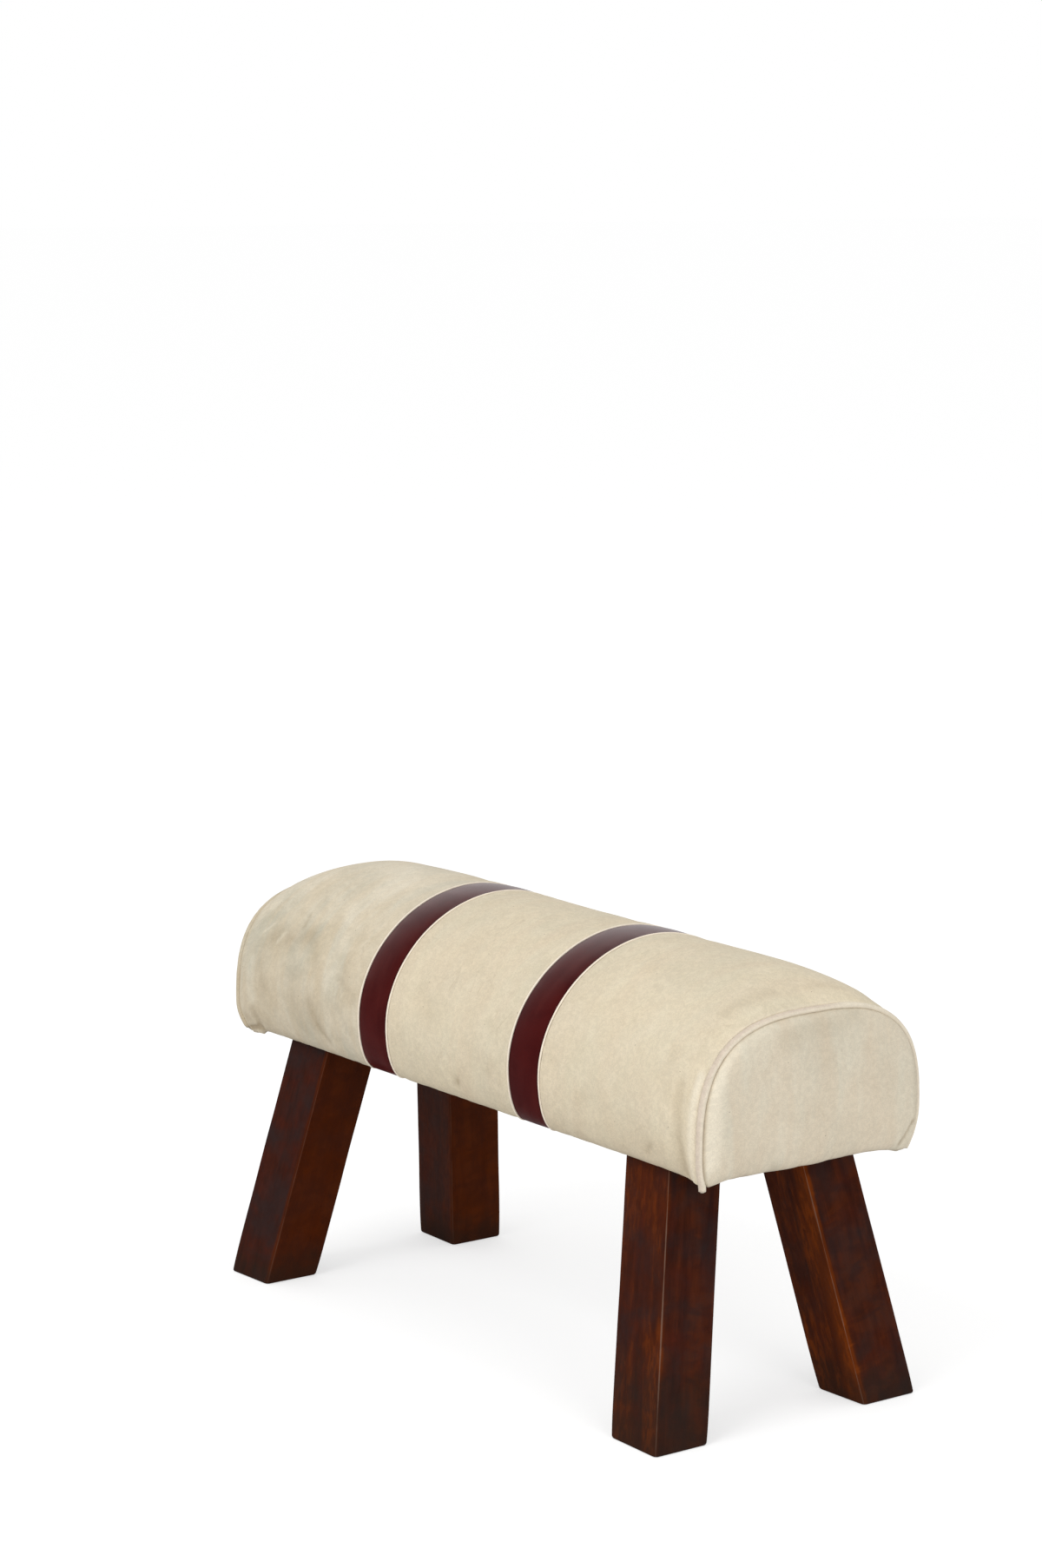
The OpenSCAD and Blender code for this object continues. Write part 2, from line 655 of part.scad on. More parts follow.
// Piping along a band's edge, from under one side of the seat over the top to the other
piping_sides = 6;
module piping(x) {
    color(cream) solid_tube(arc_over(x, side_angles, piping_sink), x, piping_r, piping_sides);
}
module piping_outer_left() piping(-band_outer_x);
module piping_inner_left() piping(-band_inner_x);
module piping_inner_right() piping(band_inner_x);
module piping_outer_right() piping(band_outer_x);

// Welts hang a little below the underside at both ends
welt_sides = 8;
cord_sides = 6;
welt_angles = [24, 56];
welt_path = let (
    path = arc_over(seam_x, welt_angles, welt_sink),
    foot = path[0],
    tail = [foot.x, leg_h - welt_tail]
) concat([tail], path, [[-tail.x, tail.y]]);
module welt(left) {
    color(cream) on_left(left) hollow_tube(welt_path, seam_x, welt_r, welt_r - welt_skin, welt_sides);
}
module welt_left() welt(true);
module welt_right() welt(false);
module welt_cord(left) {
    color(cord_white) on_left(left) solid_tube(welt_path, seam_x, welt_cord_r, cord_sides);
}
module welt_cord_left() welt_cord(true);
module welt_cord_right() welt_cord(false);

module hem_staples() {
    color(zinc) staples(hem_staple_places, leg_h);
}

module dust_cover() {
    color(cambric_black) difference() {
        translate([-dust_half_l, -dust_half_w, dust_z]) cube([2 * dust_half_l, 2 * dust_half_w, dust_t]);
        each_leg() leg_stock(leg_clear, board_z);
        staple_slots(dust_staple_places, dust_z);
    }
}

module dust_cover_staples() {
    color(zinc) staples(dust_staple_places, dust_z);
}

base_board();
leg_front_left();
leg_front_right();
leg_back_left();
leg_back_right();
leg_block_front_left();
leg_block_front_right();
leg_block_back_left();
leg_block_back_right();
leg_bolts();
leg_washers();
leg_inserts();
end_former_left();
end_former_right();
rib_outer_left();
rib_inner_left();
rib_inner_right();
rib_outer_right();
rib_screws();
deck();
deck_pins();
foam_pad();
end_foam_left();
end_foam_right();
wadding();
panel_left();
panel_centre();
panel_right();
band_left();
band_right();
end_panel_left();
end_panel_right();
piping_outer_left();
piping_inner_left();
piping_inner_right();
piping_outer_right();
welt_left();
welt_right();
welt_cord_left();
welt_cord_right();
hem_staples();
dust_cover();
dust_cover_staples();
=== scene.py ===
"""Padded bench for trying on shoes: a domed leather seat on four splayed timber legs.

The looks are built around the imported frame. Every size is in metres in the frame's own axes: +X along the
seat, -Y its front long side, +Z up, and the floor at z = 0.
"""
import logging
import math
from dataclasses import dataclass
from enum import Enum
from itertools import product
from typing import Iterable, Sequence, Union

import bmesh
import bpy
import numpy as np
from mathutils import Matrix, Vector


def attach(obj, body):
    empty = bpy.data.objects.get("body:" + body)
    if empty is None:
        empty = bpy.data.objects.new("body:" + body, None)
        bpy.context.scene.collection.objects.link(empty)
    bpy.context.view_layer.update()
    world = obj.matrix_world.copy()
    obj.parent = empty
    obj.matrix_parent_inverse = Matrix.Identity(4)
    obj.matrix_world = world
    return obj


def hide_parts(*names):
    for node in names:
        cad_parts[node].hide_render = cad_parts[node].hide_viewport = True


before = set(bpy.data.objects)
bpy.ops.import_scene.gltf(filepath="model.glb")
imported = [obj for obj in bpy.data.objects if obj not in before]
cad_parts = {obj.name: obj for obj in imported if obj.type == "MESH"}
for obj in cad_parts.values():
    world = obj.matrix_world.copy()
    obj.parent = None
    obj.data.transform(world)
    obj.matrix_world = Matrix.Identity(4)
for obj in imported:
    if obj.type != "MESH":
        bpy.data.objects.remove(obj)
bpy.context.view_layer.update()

Array = np.ndarray
Faces = list[tuple[int, ...]]
Shade = tuple[int, int, int]
Socket = bpy.types.NodeSocket
Value = Union[float, Sequence[float], "Signal"]

LOG = logging.getLogger("bench")


class Place(Enum):
    """A side of the seat, worth -1 or 1 along its axis."""

    @property
    def word(self) -> str:
        """Its name, as used in piece names."""
        return self.name.lower()


class End(Place):
    """The two ends of the seat."""

    LEFT = -1
    RIGHT = 1


class Side(Place):
    """The two long sides of the seat."""

    FRONT = -1
    BACK = 1


# Numbers and curves


def paint(red: int, green: int, blue: int) -> tuple[float, ...]:
    """Turn a colour as seen on screen, 0 to 255, into the linear values that shaders take."""
    shares = [c / 255 for c in (red, green, blue)]
    return (*(s / 12.92 if s <= 0.04045 else ((s + 0.055) / 1.055) ** 2.4 for s in shares), 1.0)


def ease(share: Array) -> Array:
    """Clip to 0..1 and turn smoothly at both ends."""
    held = np.clip(share, 0.0, 1.0)
    return held * held * (3 - 2 * held)


def scatter(cells: Array, seed: int) -> Array:
    """A fixed random value between -1 and 1 for each cell of a lattice.

    Args:
        cells: Whole-number cell coordinates, one row a cell.
        seed: Picks the lattice.

    Returns:
        One value a cell.
    """
    mixed = np.full(len(cells), seed * 0x9E3779B1 + 0x85EBCA6B, dtype=np.uint64)
    for column in cells.T.astype(np.uint64):
        mixed ^= column * np.uint64(0xC2B2AE3D27D4EB4F)
        mixed *= np.uint64(0x9E3779B97F4A7C15)
        mixed ^= mixed >> np.uint64(29)
    return (mixed >> np.uint64(40)).astype(float) / float(1 << 23) - 1


def swirl(points: Array, seed: int) -> Array:
    """Smooth noise between -1 and 1, with features about one unit across.

    Args:
        points: Points in any number of dimensions, one row a point.
        seed: Picks the pattern.

    Returns:
        One value a point.
    """
    cells = np.floor(points)
    part = points - cells
    turn = part**3 * (part * (part * 6 - 15) + 10)
    total = np.zeros(len(points))
    for corner in product((0, 1), repeat=points.shape[1]):
        step = np.array(corner)
        weight = np.prod(np.where(step == 1, turn, 1 - turn), axis=1)
        total += weight * scatter(cells.astype(np.int64) + step, seed)
    return total


def swirl_over(grid: Array, sizes: Sequence[float], seed: int) -> Array:
    """Smooth noise over a grid of coordinates, with a feature size for each of them."""
    flat = grid.reshape(-1, grid.shape[-1]) / np.array(sizes)
    return swirl(flat, seed).reshape(grid.shape[:-1])


def lengths_along(rows: Array) -> Array:
    """Signed distance (row, place) along each row of a grid of points, counted from the row's middle."""
    along = np.cumsum(np.linalg.norm(np.diff(rows, axis=1, prepend=rows[:, :1]), axis=2), axis=1)
    return along - along[:, [along.shape[1] // 2]]


def evenly(points: Array, count: int) -> Array:
    """A line through points that are close together, as a count of evenly spaced ones, ends included."""
    along = np.cumsum(np.linalg.norm(np.diff(points, axis=0, prepend=points[:1]), axis=1))
    return np.stack([np.interp(np.linspace(0.0, along[-1], count), along, part) for part in points.T], axis=1)


def mirrored(points: Array, count: int) -> Array:
    """An even line of an odd count of points (y z) over the seat, from its front half.

    Args:
        points: The front half, up to the middle.
        count: Points in the whole line.

    Returns:
        The line from front to back.
    """
    half = evenly(points, count // 2 + 1)
    half[-1, 0] = 0.0
    return np.concatenate([half, half[-2::-1] * [-1, 1]])


def flanked(rise: Array, over: Array) -> Array:
    """A line (y z) up the front, over the top and down the back."""
    return np.concatenate([rise, over, rise[::-1] * [-1, 1]])


def at(x: float | Array, line: Array) -> Array:
    """A line (y z) set at its station along the seat, as (x y z)."""
    return np.insert(line, 0, x, axis=1)


def facing(grid: Array) -> Array:
    """Unit normals of a grid of points, from its rows crossed with its columns."""
    across = np.cross(np.gradient(grid, axis=0), np.gradient(grid, axis=1))
    return across / np.maximum(np.linalg.norm(across, axis=2, keepdims=True), 1e-12)


def stations(start: float, stop: float, step: float, fine: Sequence[float]) -> Array:
    """Places from start to stop, crowded at both ends.

    Args:
        start: First place.
        stop: Last place.
        step: Usual spacing between them.
        fine: Distances from each end that get a place of their own, from 0 up.

    Returns:
        The places in order.
    """
    near = np.array(fine[:-1])
    inner_start, inner_stop = start + fine[-1], stop - fine[-1]
    count = max(int(round((inner_stop - inner_start) / step)), 1)
    return np.concatenate([start + near, np.linspace(inner_start, inner_stop, count + 1), stop - near[::-1]])


def circle(count: int) -> Array:
    """Angles evenly round a circle."""
    return np.linspace(0, 2 * math.pi, count, endpoint=False)


# Meshes


@dataclass
class Draft:
    """A mesh before it becomes a piece: points, faces, and values painted on the points."""

    points: Array
    faces: Faces
    marks: dict[str, Array]


def numbers(grid: Array) -> Array:
    """The point numbers of a grid, as (row, place)."""
    return np.arange(grid.shape[0] * grid.shape[1]).reshape(grid.shape[:2])


def grid_quads(index: Array, closed: bool = False) -> Faces:
    """Quads over a grid of point numbers, whose rows may run on from their last place to their first."""
    ring = np.concatenate([index, index[:, :1]], axis=1) if closed else index
    corners = (ring[:-1, :-1], ring[1:, :-1], ring[1:, 1:], ring[:-1, 1:])
    return list(zip(*(corner.ravel().tolist() for corner in corners)))


def shell(outer: Array, inner: Array, marks: dict[str, Array]) -> Draft:
    """A closed skin between two matching grids of points.

    Args:
        outer: The face that shows, as (row, place, xyz).
        inner: The face behind it.
        marks: Values painted on the outer grid, which the inner one shares.

    Returns:
        The mesh.
    """
    index = numbers(outer)
    faces = grid_quads(index) + [face[::-1] for face in grid_quads(index + index.size)]
    border = np.concatenate([index[0], index[1:, -1], index[-1, -2::-1], index[-2:0:-1, 0]])
    faces += grid_quads(np.stack([border, border + index.size]), closed=True)
    points = np.concatenate([outer.reshape(-1, 3), inner.reshape(-1, 3)])
    doubled = {key: np.concatenate([value.reshape(index.size, -1)] * 2) for key, value in marks.items()}
    return Draft(points, faces, doubled)


def tube(path: Array, across: Array, seed: int, tip: float = 0.0007) -> Draft:
    """A solid tube along a path, with pointed ends.

    Args:
        path: Its centre line.
        across: Its section at each point of the path as (point, place, 2): sideways and outwards.
        seed: Moves the painted coordinates, so that two tubes differ.
        tip: How far each end stands out.

    Returns:
        The mesh, with its own coordinates painted as "hide".
    """
    heading = np.gradient(path, axis=0)
    heading /= np.linalg.norm(heading, axis=1, keepdims=True)
    sideways = np.array([1.0, 0.0, 0.0])
    outwards = np.cross(sideways, heading)[:, None]
    rings = path[:, None] + across[..., :1] * sideways + across[..., 1:] * outwards
    index = numbers(rings)
    faces = grid_quads(index, closed=True)
    faces += [(index.size, b, a) for a, b in zip(index[0], np.roll(index[0], -1))]
    faces += [(index.size + 1, a, b) for a, b in zip(index[-1], np.roll(index[-1], -1))]
    tips = np.stack([path[0] - heading[0] * tip, path[-1] + heading[-1] * tip])
    along = lengths_along(path[None])[0]
    hide = np.zeros((*index.shape, 3))
    hide[..., 0] = np.linspace(0, 0.02, index.shape[1])
    hide[..., 1] = along[:, None]
    hide = np.concatenate([hide.reshape(-1, 3), [[0, along[0], 0], [0, along[-1], 0]]]) + seed * 0.37
    points = np.concatenate([rings.reshape(-1, 3), tips])
    return Draft(points, faces, {"hide": hide, "seam": np.zeros(len(points))})


def make_piece(name: str, draft: Draft, finish: str, node: str) -> bpy.types.Object:
    """Turn a draft into a smooth-shaded piece that rides on the bench.

    Args:
        name: The piece's name.
        draft: Its mesh.
        finish: Name of its finish.
        node: The CAD node that it replaces.

    Returns:
        The new object.
    """
    mesh = bpy.data.meshes.new(name)
    mesh.from_pydata(draft.points.tolist(), [], [tuple(int(i) for i in face) for face in draft.faces])
    for key, value in draft.marks.items():
        flat = value.reshape(len(draft.points), -1).astype(np.float32)
        kind, field = ("FLOAT_VECTOR", "vector") if flat.shape[1] == 3 else ("FLOAT", "value")
        mesh.attributes.new(key, kind, "POINT").data.foreach_set(field, flat.ravel())
    sorter = bmesh.new()
    sorter.from_mesh(mesh)
    bmesh.ops.recalc_face_normals(sorter, faces=sorter.faces)
    sorter.to_mesh(mesh)
    sorter.free()
    mesh.polygons.foreach_set("use_smooth", [True] * len(mesh.polygons))
    mesh.materials.append(bpy.data.materials[finish])
    made = bpy.data.objects.new(name, mesh)
    bpy.context.scene.collection.objects.link(made)
    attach(made, "root")
    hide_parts(node)
    LOG.info("%s: %d points, %d faces", name, len(mesh.vertices), len(mesh.polygons))
    return made


# Cloth


@dataclass(frozen=True)
class Settling:
    """How a sewn and stapled piece of leather is let settle over its padding by the cloth solver."""

    pressure: float = 1.8
    spare: float = 0.007
    limit: float = 0.0020
    share: float = 0.40
    frames: int = 20
    mass: float = 0.4
    damping: float = 4.0
    stretching: float = 25.0
    shearing: float = 10.0
    bending: float = 0.6

    def run(self, rest: Array, held: Array) -> Array:
        """Settle a coarse grid.

        Args:
            rest: Its points at rest as (row, place, xyz), with its faces outwards.
            held: How firmly each point is held, from 0 to 1.

        Returns:
            How far each point moves, nowhere further than the limit.
        """
        mesh = bpy.data.meshes.new("settling")
        mesh.from_pydata(rest.reshape(-1, 3).tolist(), [], grid_quads(numbers(rest)))
        leather = bpy.data.objects.new("settling", mesh)
        scene = bpy.context.scene
        scene.collection.objects.link(leather)
        pins = leather.vertex_groups.new(name="held")
        for number, weight in enumerate(held.ravel().tolist()):
            pins.add([number], weight, "REPLACE")
        self.set_up(leather.modifiers.new("settling", "CLOTH"), pins.name)
        for number in range(1, self.frames + 1):
            scene.frame_set(number)
        settled = leather.evaluated_get(bpy.context.evaluated_depsgraph_get()).to_mesh()
        found = np.empty(rest.size)
        settled.vertices.foreach_get("co", found)
        scene.frame_set(1)
        bpy.data.objects.remove(leather)
        bpy.data.meshes.remove(mesh)
        moved = found.reshape(rest.shape) - rest
        reach = np.linalg.norm(moved, axis=2, keepdims=True)
        LOG.info("settled: %.1f mm at most, %.1f mm on average", 1000 * reach.max(), 1000 * reach.mean())
        return self.share * moved * np.minimum(1, self.limit / np.maximum(reach, 1e-9))

    def set_up(self, solver: bpy.types.Modifier, held: str) -> None:
        """Set the solver for stiff leather over air, without gravity.

        Args:
            solver: The cloth modifier.
            held: Name of the group of held points.
        """
        solver.point_cache.frame_start = 1
        solver.point_cache.frame_end = self.frames
        cloth = solver.settings
        cloth.quality = 7
        cloth.mass = self.mass
        cloth.air_damping = self.damping
        cloth.tension_stiffness = cloth.compression_stiffness = self.stretching
        cloth.shear_stiffness = self.shearing
        cloth.bending_stiffness = self.bending
        cloth.vertex_group_mass = held
        cloth.shrink_min = -self.spare
        cloth.use_pressure = True
        cloth.uniform_pressure_force = self.pressure
        cloth.effector_weights.gravity = 0.0
        solver.collision_settings.use_collision = False


def refit(field: Array, old: Array, new: Array) -> Array:
    """Read a field smoothly at new places along its first axis.

    Args:
        field: Values at the old places.
        old: The old places in order.
        new: The new ones.

    Returns:
        Values at the new places.
    """
    place = np.interp(new, old, np.arange(len(old)))
    low = np.minimum(np.floor(place).astype(int), len(old) - 2)
    t = (place - low).reshape(-1, *[1] * (field.ndim - 1))
    p, q, r, s = (field[np.clip(low + k, 0, len(old) - 1)] for k in (-1, 0, 1, 2))
    return q + 0.5 * t * (r - p + t * (2 * p - 5 * q + 4 * r - s + t * (3 * (q - r) + s - p)))


# Shader building


@dataclass(frozen=True)
class Signal:
    """A value that flows through a node tree and can be reckoned with."""

    recipe: "Recipe"
    socket: Socket

    def step(self, operation: str, other: Value = 0.0) -> "Signal":
        """One arithmetic step with another value, by Blender's name for it."""
        return self.recipe.make("Math", self, other, operation=operation)

    def __add__(self, other: Value) -> "Signal":
        """The sum with another value."""
        return self.step("ADD", other)

    def __sub__(self, other: Value) -> "Signal":
        """This less another value."""
        return self.step("SUBTRACT", other)

    def __rsub__(self, other: float) -> "Signal":
        """A number less this."""
        return self.recipe.make("Math", other, self, operation="SUBTRACT")

    def __mul__(self, other: Value) -> "Signal":
        """The product with another value."""
        return self.step("MULTIPLY", other)

    def __truediv__(self, other: Value) -> "Signal":
        """This over another value."""
        return self.step("DIVIDE", other)

    def remap(self, low: float, high: float, to_low: float = 0.0, to_high: float = 1.0) -> "Signal":
        """Stretch smoothly from the range low to high to the range to_low to to_high."""
        return self.recipe.make("MapRange", self, low, high, to_low, to_high, interpolation_type="SMOOTHSTEP")


class Recipe:
    """A node tree under construction, with short ways to add what the finishes need."""

    def __init__(self, tree: bpy.types.NodeTree) -> None:
        """Start from a tree, whose nodes are cleared."""
        self.tree = tree
        tree.nodes.clear()

    def node(self, kind: str, **settings: object) -> bpy.types.Node:
        """Add a node.

        Args:
            kind: The node's type, after "ShaderNode" or in full.
            settings: Properties to set on it.

        Returns:
            The node.
        """
        made = self.tree.nodes.new(kind if kind.startswith("Node") else "ShaderNode" + kind)
        for key, value in settings.items():
            setattr(made, key, value)
        return made

    def feed(self, target: Socket, value: Value) -> None:
        """Link a socket to a signal, or set it to a constant."""
        if isinstance(value, Signal):
            self.tree.links.new(value.socket, target)
        else:
            target.default_value = value

    def make(self, kind: str, *values: Value, **settings: object) -> Signal:
        """Add a node, feed its first inputs in order, and take its first output.

        Args:
            kind: The node's type, after "ShaderNode".
            values: What its inputs get.
            settings: Properties to set on it.

        Returns:
            Its first output.
        """
        made = self.node(kind, **settings)
        for socket, value in zip(made.inputs, values):
            self.feed(socket, value)
        return Signal(self, made.outputs[0])

    def fill(self, node: bpy.types.Node, **values: Value) -> dict[str, Signal]:
        """Feed a node's inputs by name, with an underscore for each space, and take its outputs by name."""
        for key, value in values.items():
            self.feed(node.inputs[key.replace("_", " ")], value)
        return {socket.name: Signal(self, socket) for socket in node.outputs}

    def mix(self, share: Value, first: Value, second: Value, blend: str = "MIX") -> Signal:
        """Blend two colours.

        Args:
            share: How much of the second colour shows.
            first: First colour.
            second: Second colour.
            blend: Blender's name for how they blend.

        Returns:
            The colour.
        """
        made = self.node("Mix", data_type="RGBA", blend_type=blend)
        for number, value in ((0, share), (6, first), (7, second)):
            self.feed(made.inputs[number], value)
        return Signal(self, made.outputs[2])

    def coats(self, ground: Shade, layers: Iterable[tuple[Value, Shade]]) -> Signal:
        """Lay colours over a ground colour, each by its own share.

        Args:
            ground: The colour at the bottom.
            layers: Share and colour of each layer, from the bottom up.

        Returns:
            The colour.
        """
        colour = paint(*ground)
        for share, shade in layers:
            colour = self.mix(share, colour, paint(*shade))
        return colour

    def stretch(self, vector: Signal, sizes: Value | Sequence[Value], shift: float = 0.0) -> Signal:
        """Divide coordinates by feature sizes.

        Args:
            vector: The coordinates.
            sizes: Feature size along each of them, or one for all.
            shift: Moves the pattern, so that two of them differ.

        Returns:
            The new coordinates.
        """
        each = self.make("CombineXYZ", *(sizes if isinstance(sizes, tuple) else (sizes,) * 3))
        divided = self.make("VectorMath", vector, each, operation="DIVIDE")
        return self.make("VectorMath", divided, (shift, shift * 0.7, shift * 1.3), operation="ADD")

    def noise(
        self, vector: Signal, sizes: Value | Sequence[Value], detail: float, roughness: float = 0.5,
        distortion: float = 0.0, shift: float = 0.0,
    ) -> Signal:
        """A cloudy value about 0.5.

        Args:
            vector: Coordinates.
            sizes: Feature size along each of them, or one for all.
            detail: Number of finer layers.
            roughness: How strong the finer layers are.
            distortion: How far the pattern is stirred.
            shift: Moves the pattern, so that two of them differ.

        Returns:
            The value.
        """
        place = self.stretch(vector, sizes, shift)
        made = self.fill(self.node("TexNoise"), Vector=place, Scale=1.0, Detail=detail, Roughness=roughness,
                         Distortion=distortion)
        return made["Fac"]

    def cells(self, vector: Signal, feature: str = "F1", space: str = "3D") -> Signal:
        """Distance pattern of scattered cells, one unit apart, in space or on a flat sheet."""
        pattern = self.node("TexVoronoi", feature=feature, voronoi_dimensions=space)
        return self.fill(pattern, Vector=vector, Scale=1.0)["Distance"]

    def mark(self, name: str, output: str = "Fac") -> Signal:
        """The value or vector painted on the mesh under a name."""
        return self.fill(self.node("Attribute", attribute_name=name))[output]

    def place(self) -> Signal:
        """The object's own coordinates, in metres."""
        return self.fill(self.node("TexCoord"))["Object"]

    def effect(self, effect: "Effect", **values: Value) -> dict[str, Signal]:
        """Place a shared effect, feed its inputs by name, and take its outputs by name."""
        return self.fill(self.node("Group", node_tree=EFFECTS[effect]), **values)

    def relief(self, height: Signal, depth: float, strength: float) -> Signal:
        """Normals of fine relief, whose height from 0 to 1 is a depth in metres."""
        return self.fill(self.node("Bump"), Strength=strength, Distance=depth, Height=height)["Normal"]


class Effect(Enum):
    """Shared surface effects, each with its group's name and usual values."""

    MOTTLE = ("Soft mottle", {"Size": 0.06, "Stretch": 1.0, "Shift": 0.0})
    NAP = ("Suede nap", {"Fibre": 0.0011})
    BLEMISH = ("Hide blemishes", {"Spacing": 0.03, "Speck": 0.0006, "Vein": 0.05})
    PEBBLE = ("Leather pebble", {"Grain": 0.0009})
    TIMBER = ("Timber figure", {"Width": 0.006, "Length": 0.16, "Pore": 0.0006, "Shift": 0.0})
    WEAR = ("Worn edges", {"Edge": 0.0, "Ragged": 0.012, "Level": 0.5})
    DUST = ("Settled dust", {"Height": 0.0, "Reach": 0.05, "Patch": 0.02})
    FIBRES = ("Loose fibres", {"Size": 0.002})


class Effects:
    """Builds the shared effects on first use, each as one node group, and keeps them.

    The method of an effect takes the recipe of its group and the group's inputs, and gives its outputs.
    """

    def __init__(self) -> None:
        """Start with none built."""
        self.built: dict[Effect, bpy.types.NodeTree] = {}
        self.methods = {
            Effect.MOTTLE: self.mottle, Effect.NAP: self.nap, Effect.BLEMISH: self.blemish,
            Effect.PEBBLE: self.pebble, Effect.TIMBER: self.timber, Effect.WEAR: self.wear,
            Effect.DUST: self.dust, Effect.FIBRES: self.fibres,
        }

    def __getitem__(self, effect: Effect) -> bpy.types.NodeTree:
        """The node group of an effect."""
        if effect not in self.built:
            self.built[effect] = self.build(effect)
        return self.built[effect]

    def build(self, effect: Effect) -> bpy.types.NodeTree:
        """Make the node group of an effect.

        Args:
            effect: Which one.

        Returns:
            The group.
        """
        title, usual = effect.value
        tree = bpy.data.node_groups.new(title, "ShaderNodeTree")
        tree.interface.new_socket("Vector", in_out="INPUT", socket_type="NodeSocketVector")
        for key, value in usual.items():
            socket = tree.interface.new_socket(key, in_out="INPUT", socket_type="NodeSocketFloat")
            socket.default_value = value
        r = Recipe(tree)
        results = self.methods[effect](r, r.fill(r.node("NodeGroupInput")))
        for key in results:
            tree.interface.new_socket(key, in_out="OUTPUT", socket_type="NodeSocketFloat")
        r.fill(r.node("NodeGroupOutput"), **results)
        return tree

    def mottle(self, r: Recipe, given: dict[str, Signal]) -> dict[str, Signal]:
        """Cloudy patches, and fainter ones drawn out along the second coordinate."""
        size, place = given["Size"], r.make("VectorMath", given["Vector"], given["Shift"], operation="ADD")
        cloud = r.noise(place, size, 3.0, 0.55, 0.4)
        streak = r.noise(place, (size * 0.32, size * given["Stretch"], size), 2.0, 0.5, 0.6, 7.3)
        return {"Cloud": cloud.remap(0.32, 0.68), "Streak": streak.remap(0.36, 0.66)}

    def nap(self, r: Recipe, given: dict[str, Signal]) -> dict[str, Signal]:
        """Short brushed fibres: a fine height, and a value for the paler tips."""
        fine = r.noise(given["Vector"], given["Fibre"], 3.0, 0.6, 0.2)
        broad = r.noise(given["Vector"], given["Fibre"] * 4.2, 4.0, 0.58, 0.6, 3.1)
        both = fine * 0.55 + broad * 0.45
        return {"Height": both, "Tips": both.remap(0.36, 0.66)}

    def blemish(self, r: Recipe, given: dict[str, Signal]) -> dict[str, Signal]:
        """Marks that a real hide keeps: a few dark specks, and thin veins that fade in and out."""
        spacing, vein = given["Spacing"], given["Vein"]
        near = r.cells(r.stretch(given["Vector"], spacing), space="2D")
        speck = (near / (given["Speck"] / spacing)).remap(0.6, 1.3)
        line = r.noise(given["Vector"], (vein * 0.5, vein, vein), 4.0, 0.55, 0.8, 2.2)
        thin = (line - 0.5).step("ABSOLUTE").remap(0.0, 0.012, 1.0, 0.0)
        fade = r.noise(given["Vector"], vein, 2.0, shift=8.8)
        return {"Specks": 1.0 - speck, "Veins": thin * fade.remap(0.48, 0.66)}

    def pebble(self, r: Recipe, given: dict[str, Signal]) -> dict[str, Signal]:
        """Fine closed leather grain with a few pores."""
        stirred = r.noise(given["Vector"], 0.004, 2.0) * 2.0
        place = r.make("VectorMath", r.stretch(given["Vector"], given["Grain"]), stirred, operation="ADD")
        edges = r.cells(place, "DISTANCE_TO_EDGE").remap(0.0, 0.3)
        fine = r.noise(given["Vector"], 0.0004, 2.0)
        return {"Height": edges * 0.7 + fine * 0.3, "Creases": 1.0 - edges}

    def timber(self, r: Recipe, given: dict[str, Signal]) -> dict[str, Signal]:
        """Long grain along the third coordinate: bands of figure, short pores, and patchy stain."""
        place = r.make("VectorMath", given["Vector"], given["Shift"], operation="ADD")
        width, pore, patch = given["Width"], given["Pore"], given["Width"] * 2.4
        figure = r.noise(place, (width, width, given["Length"]), 6.0, 0.68, 0.3)
        pores = r.noise(place, (pore, pore, pore * 22.0), 2.0, 0.5, 0.1, 4.7).remap(0.60, 0.70)
        patches = r.noise(place, (patch, patch, width * 14.0), 3.0, 0.5, 0.2, 9.1)
        return {
            "Figure": figure.remap(0.34, 0.66), "Pores": pores, "Patches": patches.remap(0.36, 0.64),
            "Height": figure * 0.5 - pores * 0.5,
        }

    def wear(self, r: Recipe, given: dict[str, Signal]) -> dict[str, Signal]:
        """Rubbed-through finish along edges, broken up so that it comes and goes."""
        ragged = given["Ragged"]
        breakup = r.noise(given["Vector"], (ragged, ragged, ragged * 3.0), 4.0, 0.6)
        over = given["Edge"] + (breakup - 0.5) * 0.9 - (1.0 - given["Level"])
        return {"Rubbed": over.remap(0.0, 0.35), "Thinned": over.remap(-0.35, 0.25)}

    def dust(self, r: Recipe, given: dict[str, Signal]) -> dict[str, Signal]:
        """Grime that gathers near the floor, in soft patches."""
        cloudy = r.noise(given["Vector"], given["Patch"], 4.0, 0.6)
        mask = (1.0 - given["Height"] / given["Reach"]) + (cloudy - 0.5) * 1.2
        return {"Mask": mask.remap(0.0, 1.0)}

    def fibres(self, r: Recipe, given: dict[str, Signal]) -> dict[str, Signal]:
        """A tangle of fibres, as in wadding, felted cloth and cut foam."""
        vector, size = given["Vector"], given["Size"]
        long = size * 6.0
        first = r.noise(vector, (size, long, size), 3.0, 0.6, 0.8)
        second = r.noise(vector, (long, size, size), 3.0, 0.6, 0.8, 5.9)
        holes = r.cells(r.stretch(vector, size))
        return {"Strands": first.step("MAXIMUM", second).remap(0.45, 0.7), "Holes": holes.remap(0.15, 0.55)}


EFFECTS = Effects()


# Finishes


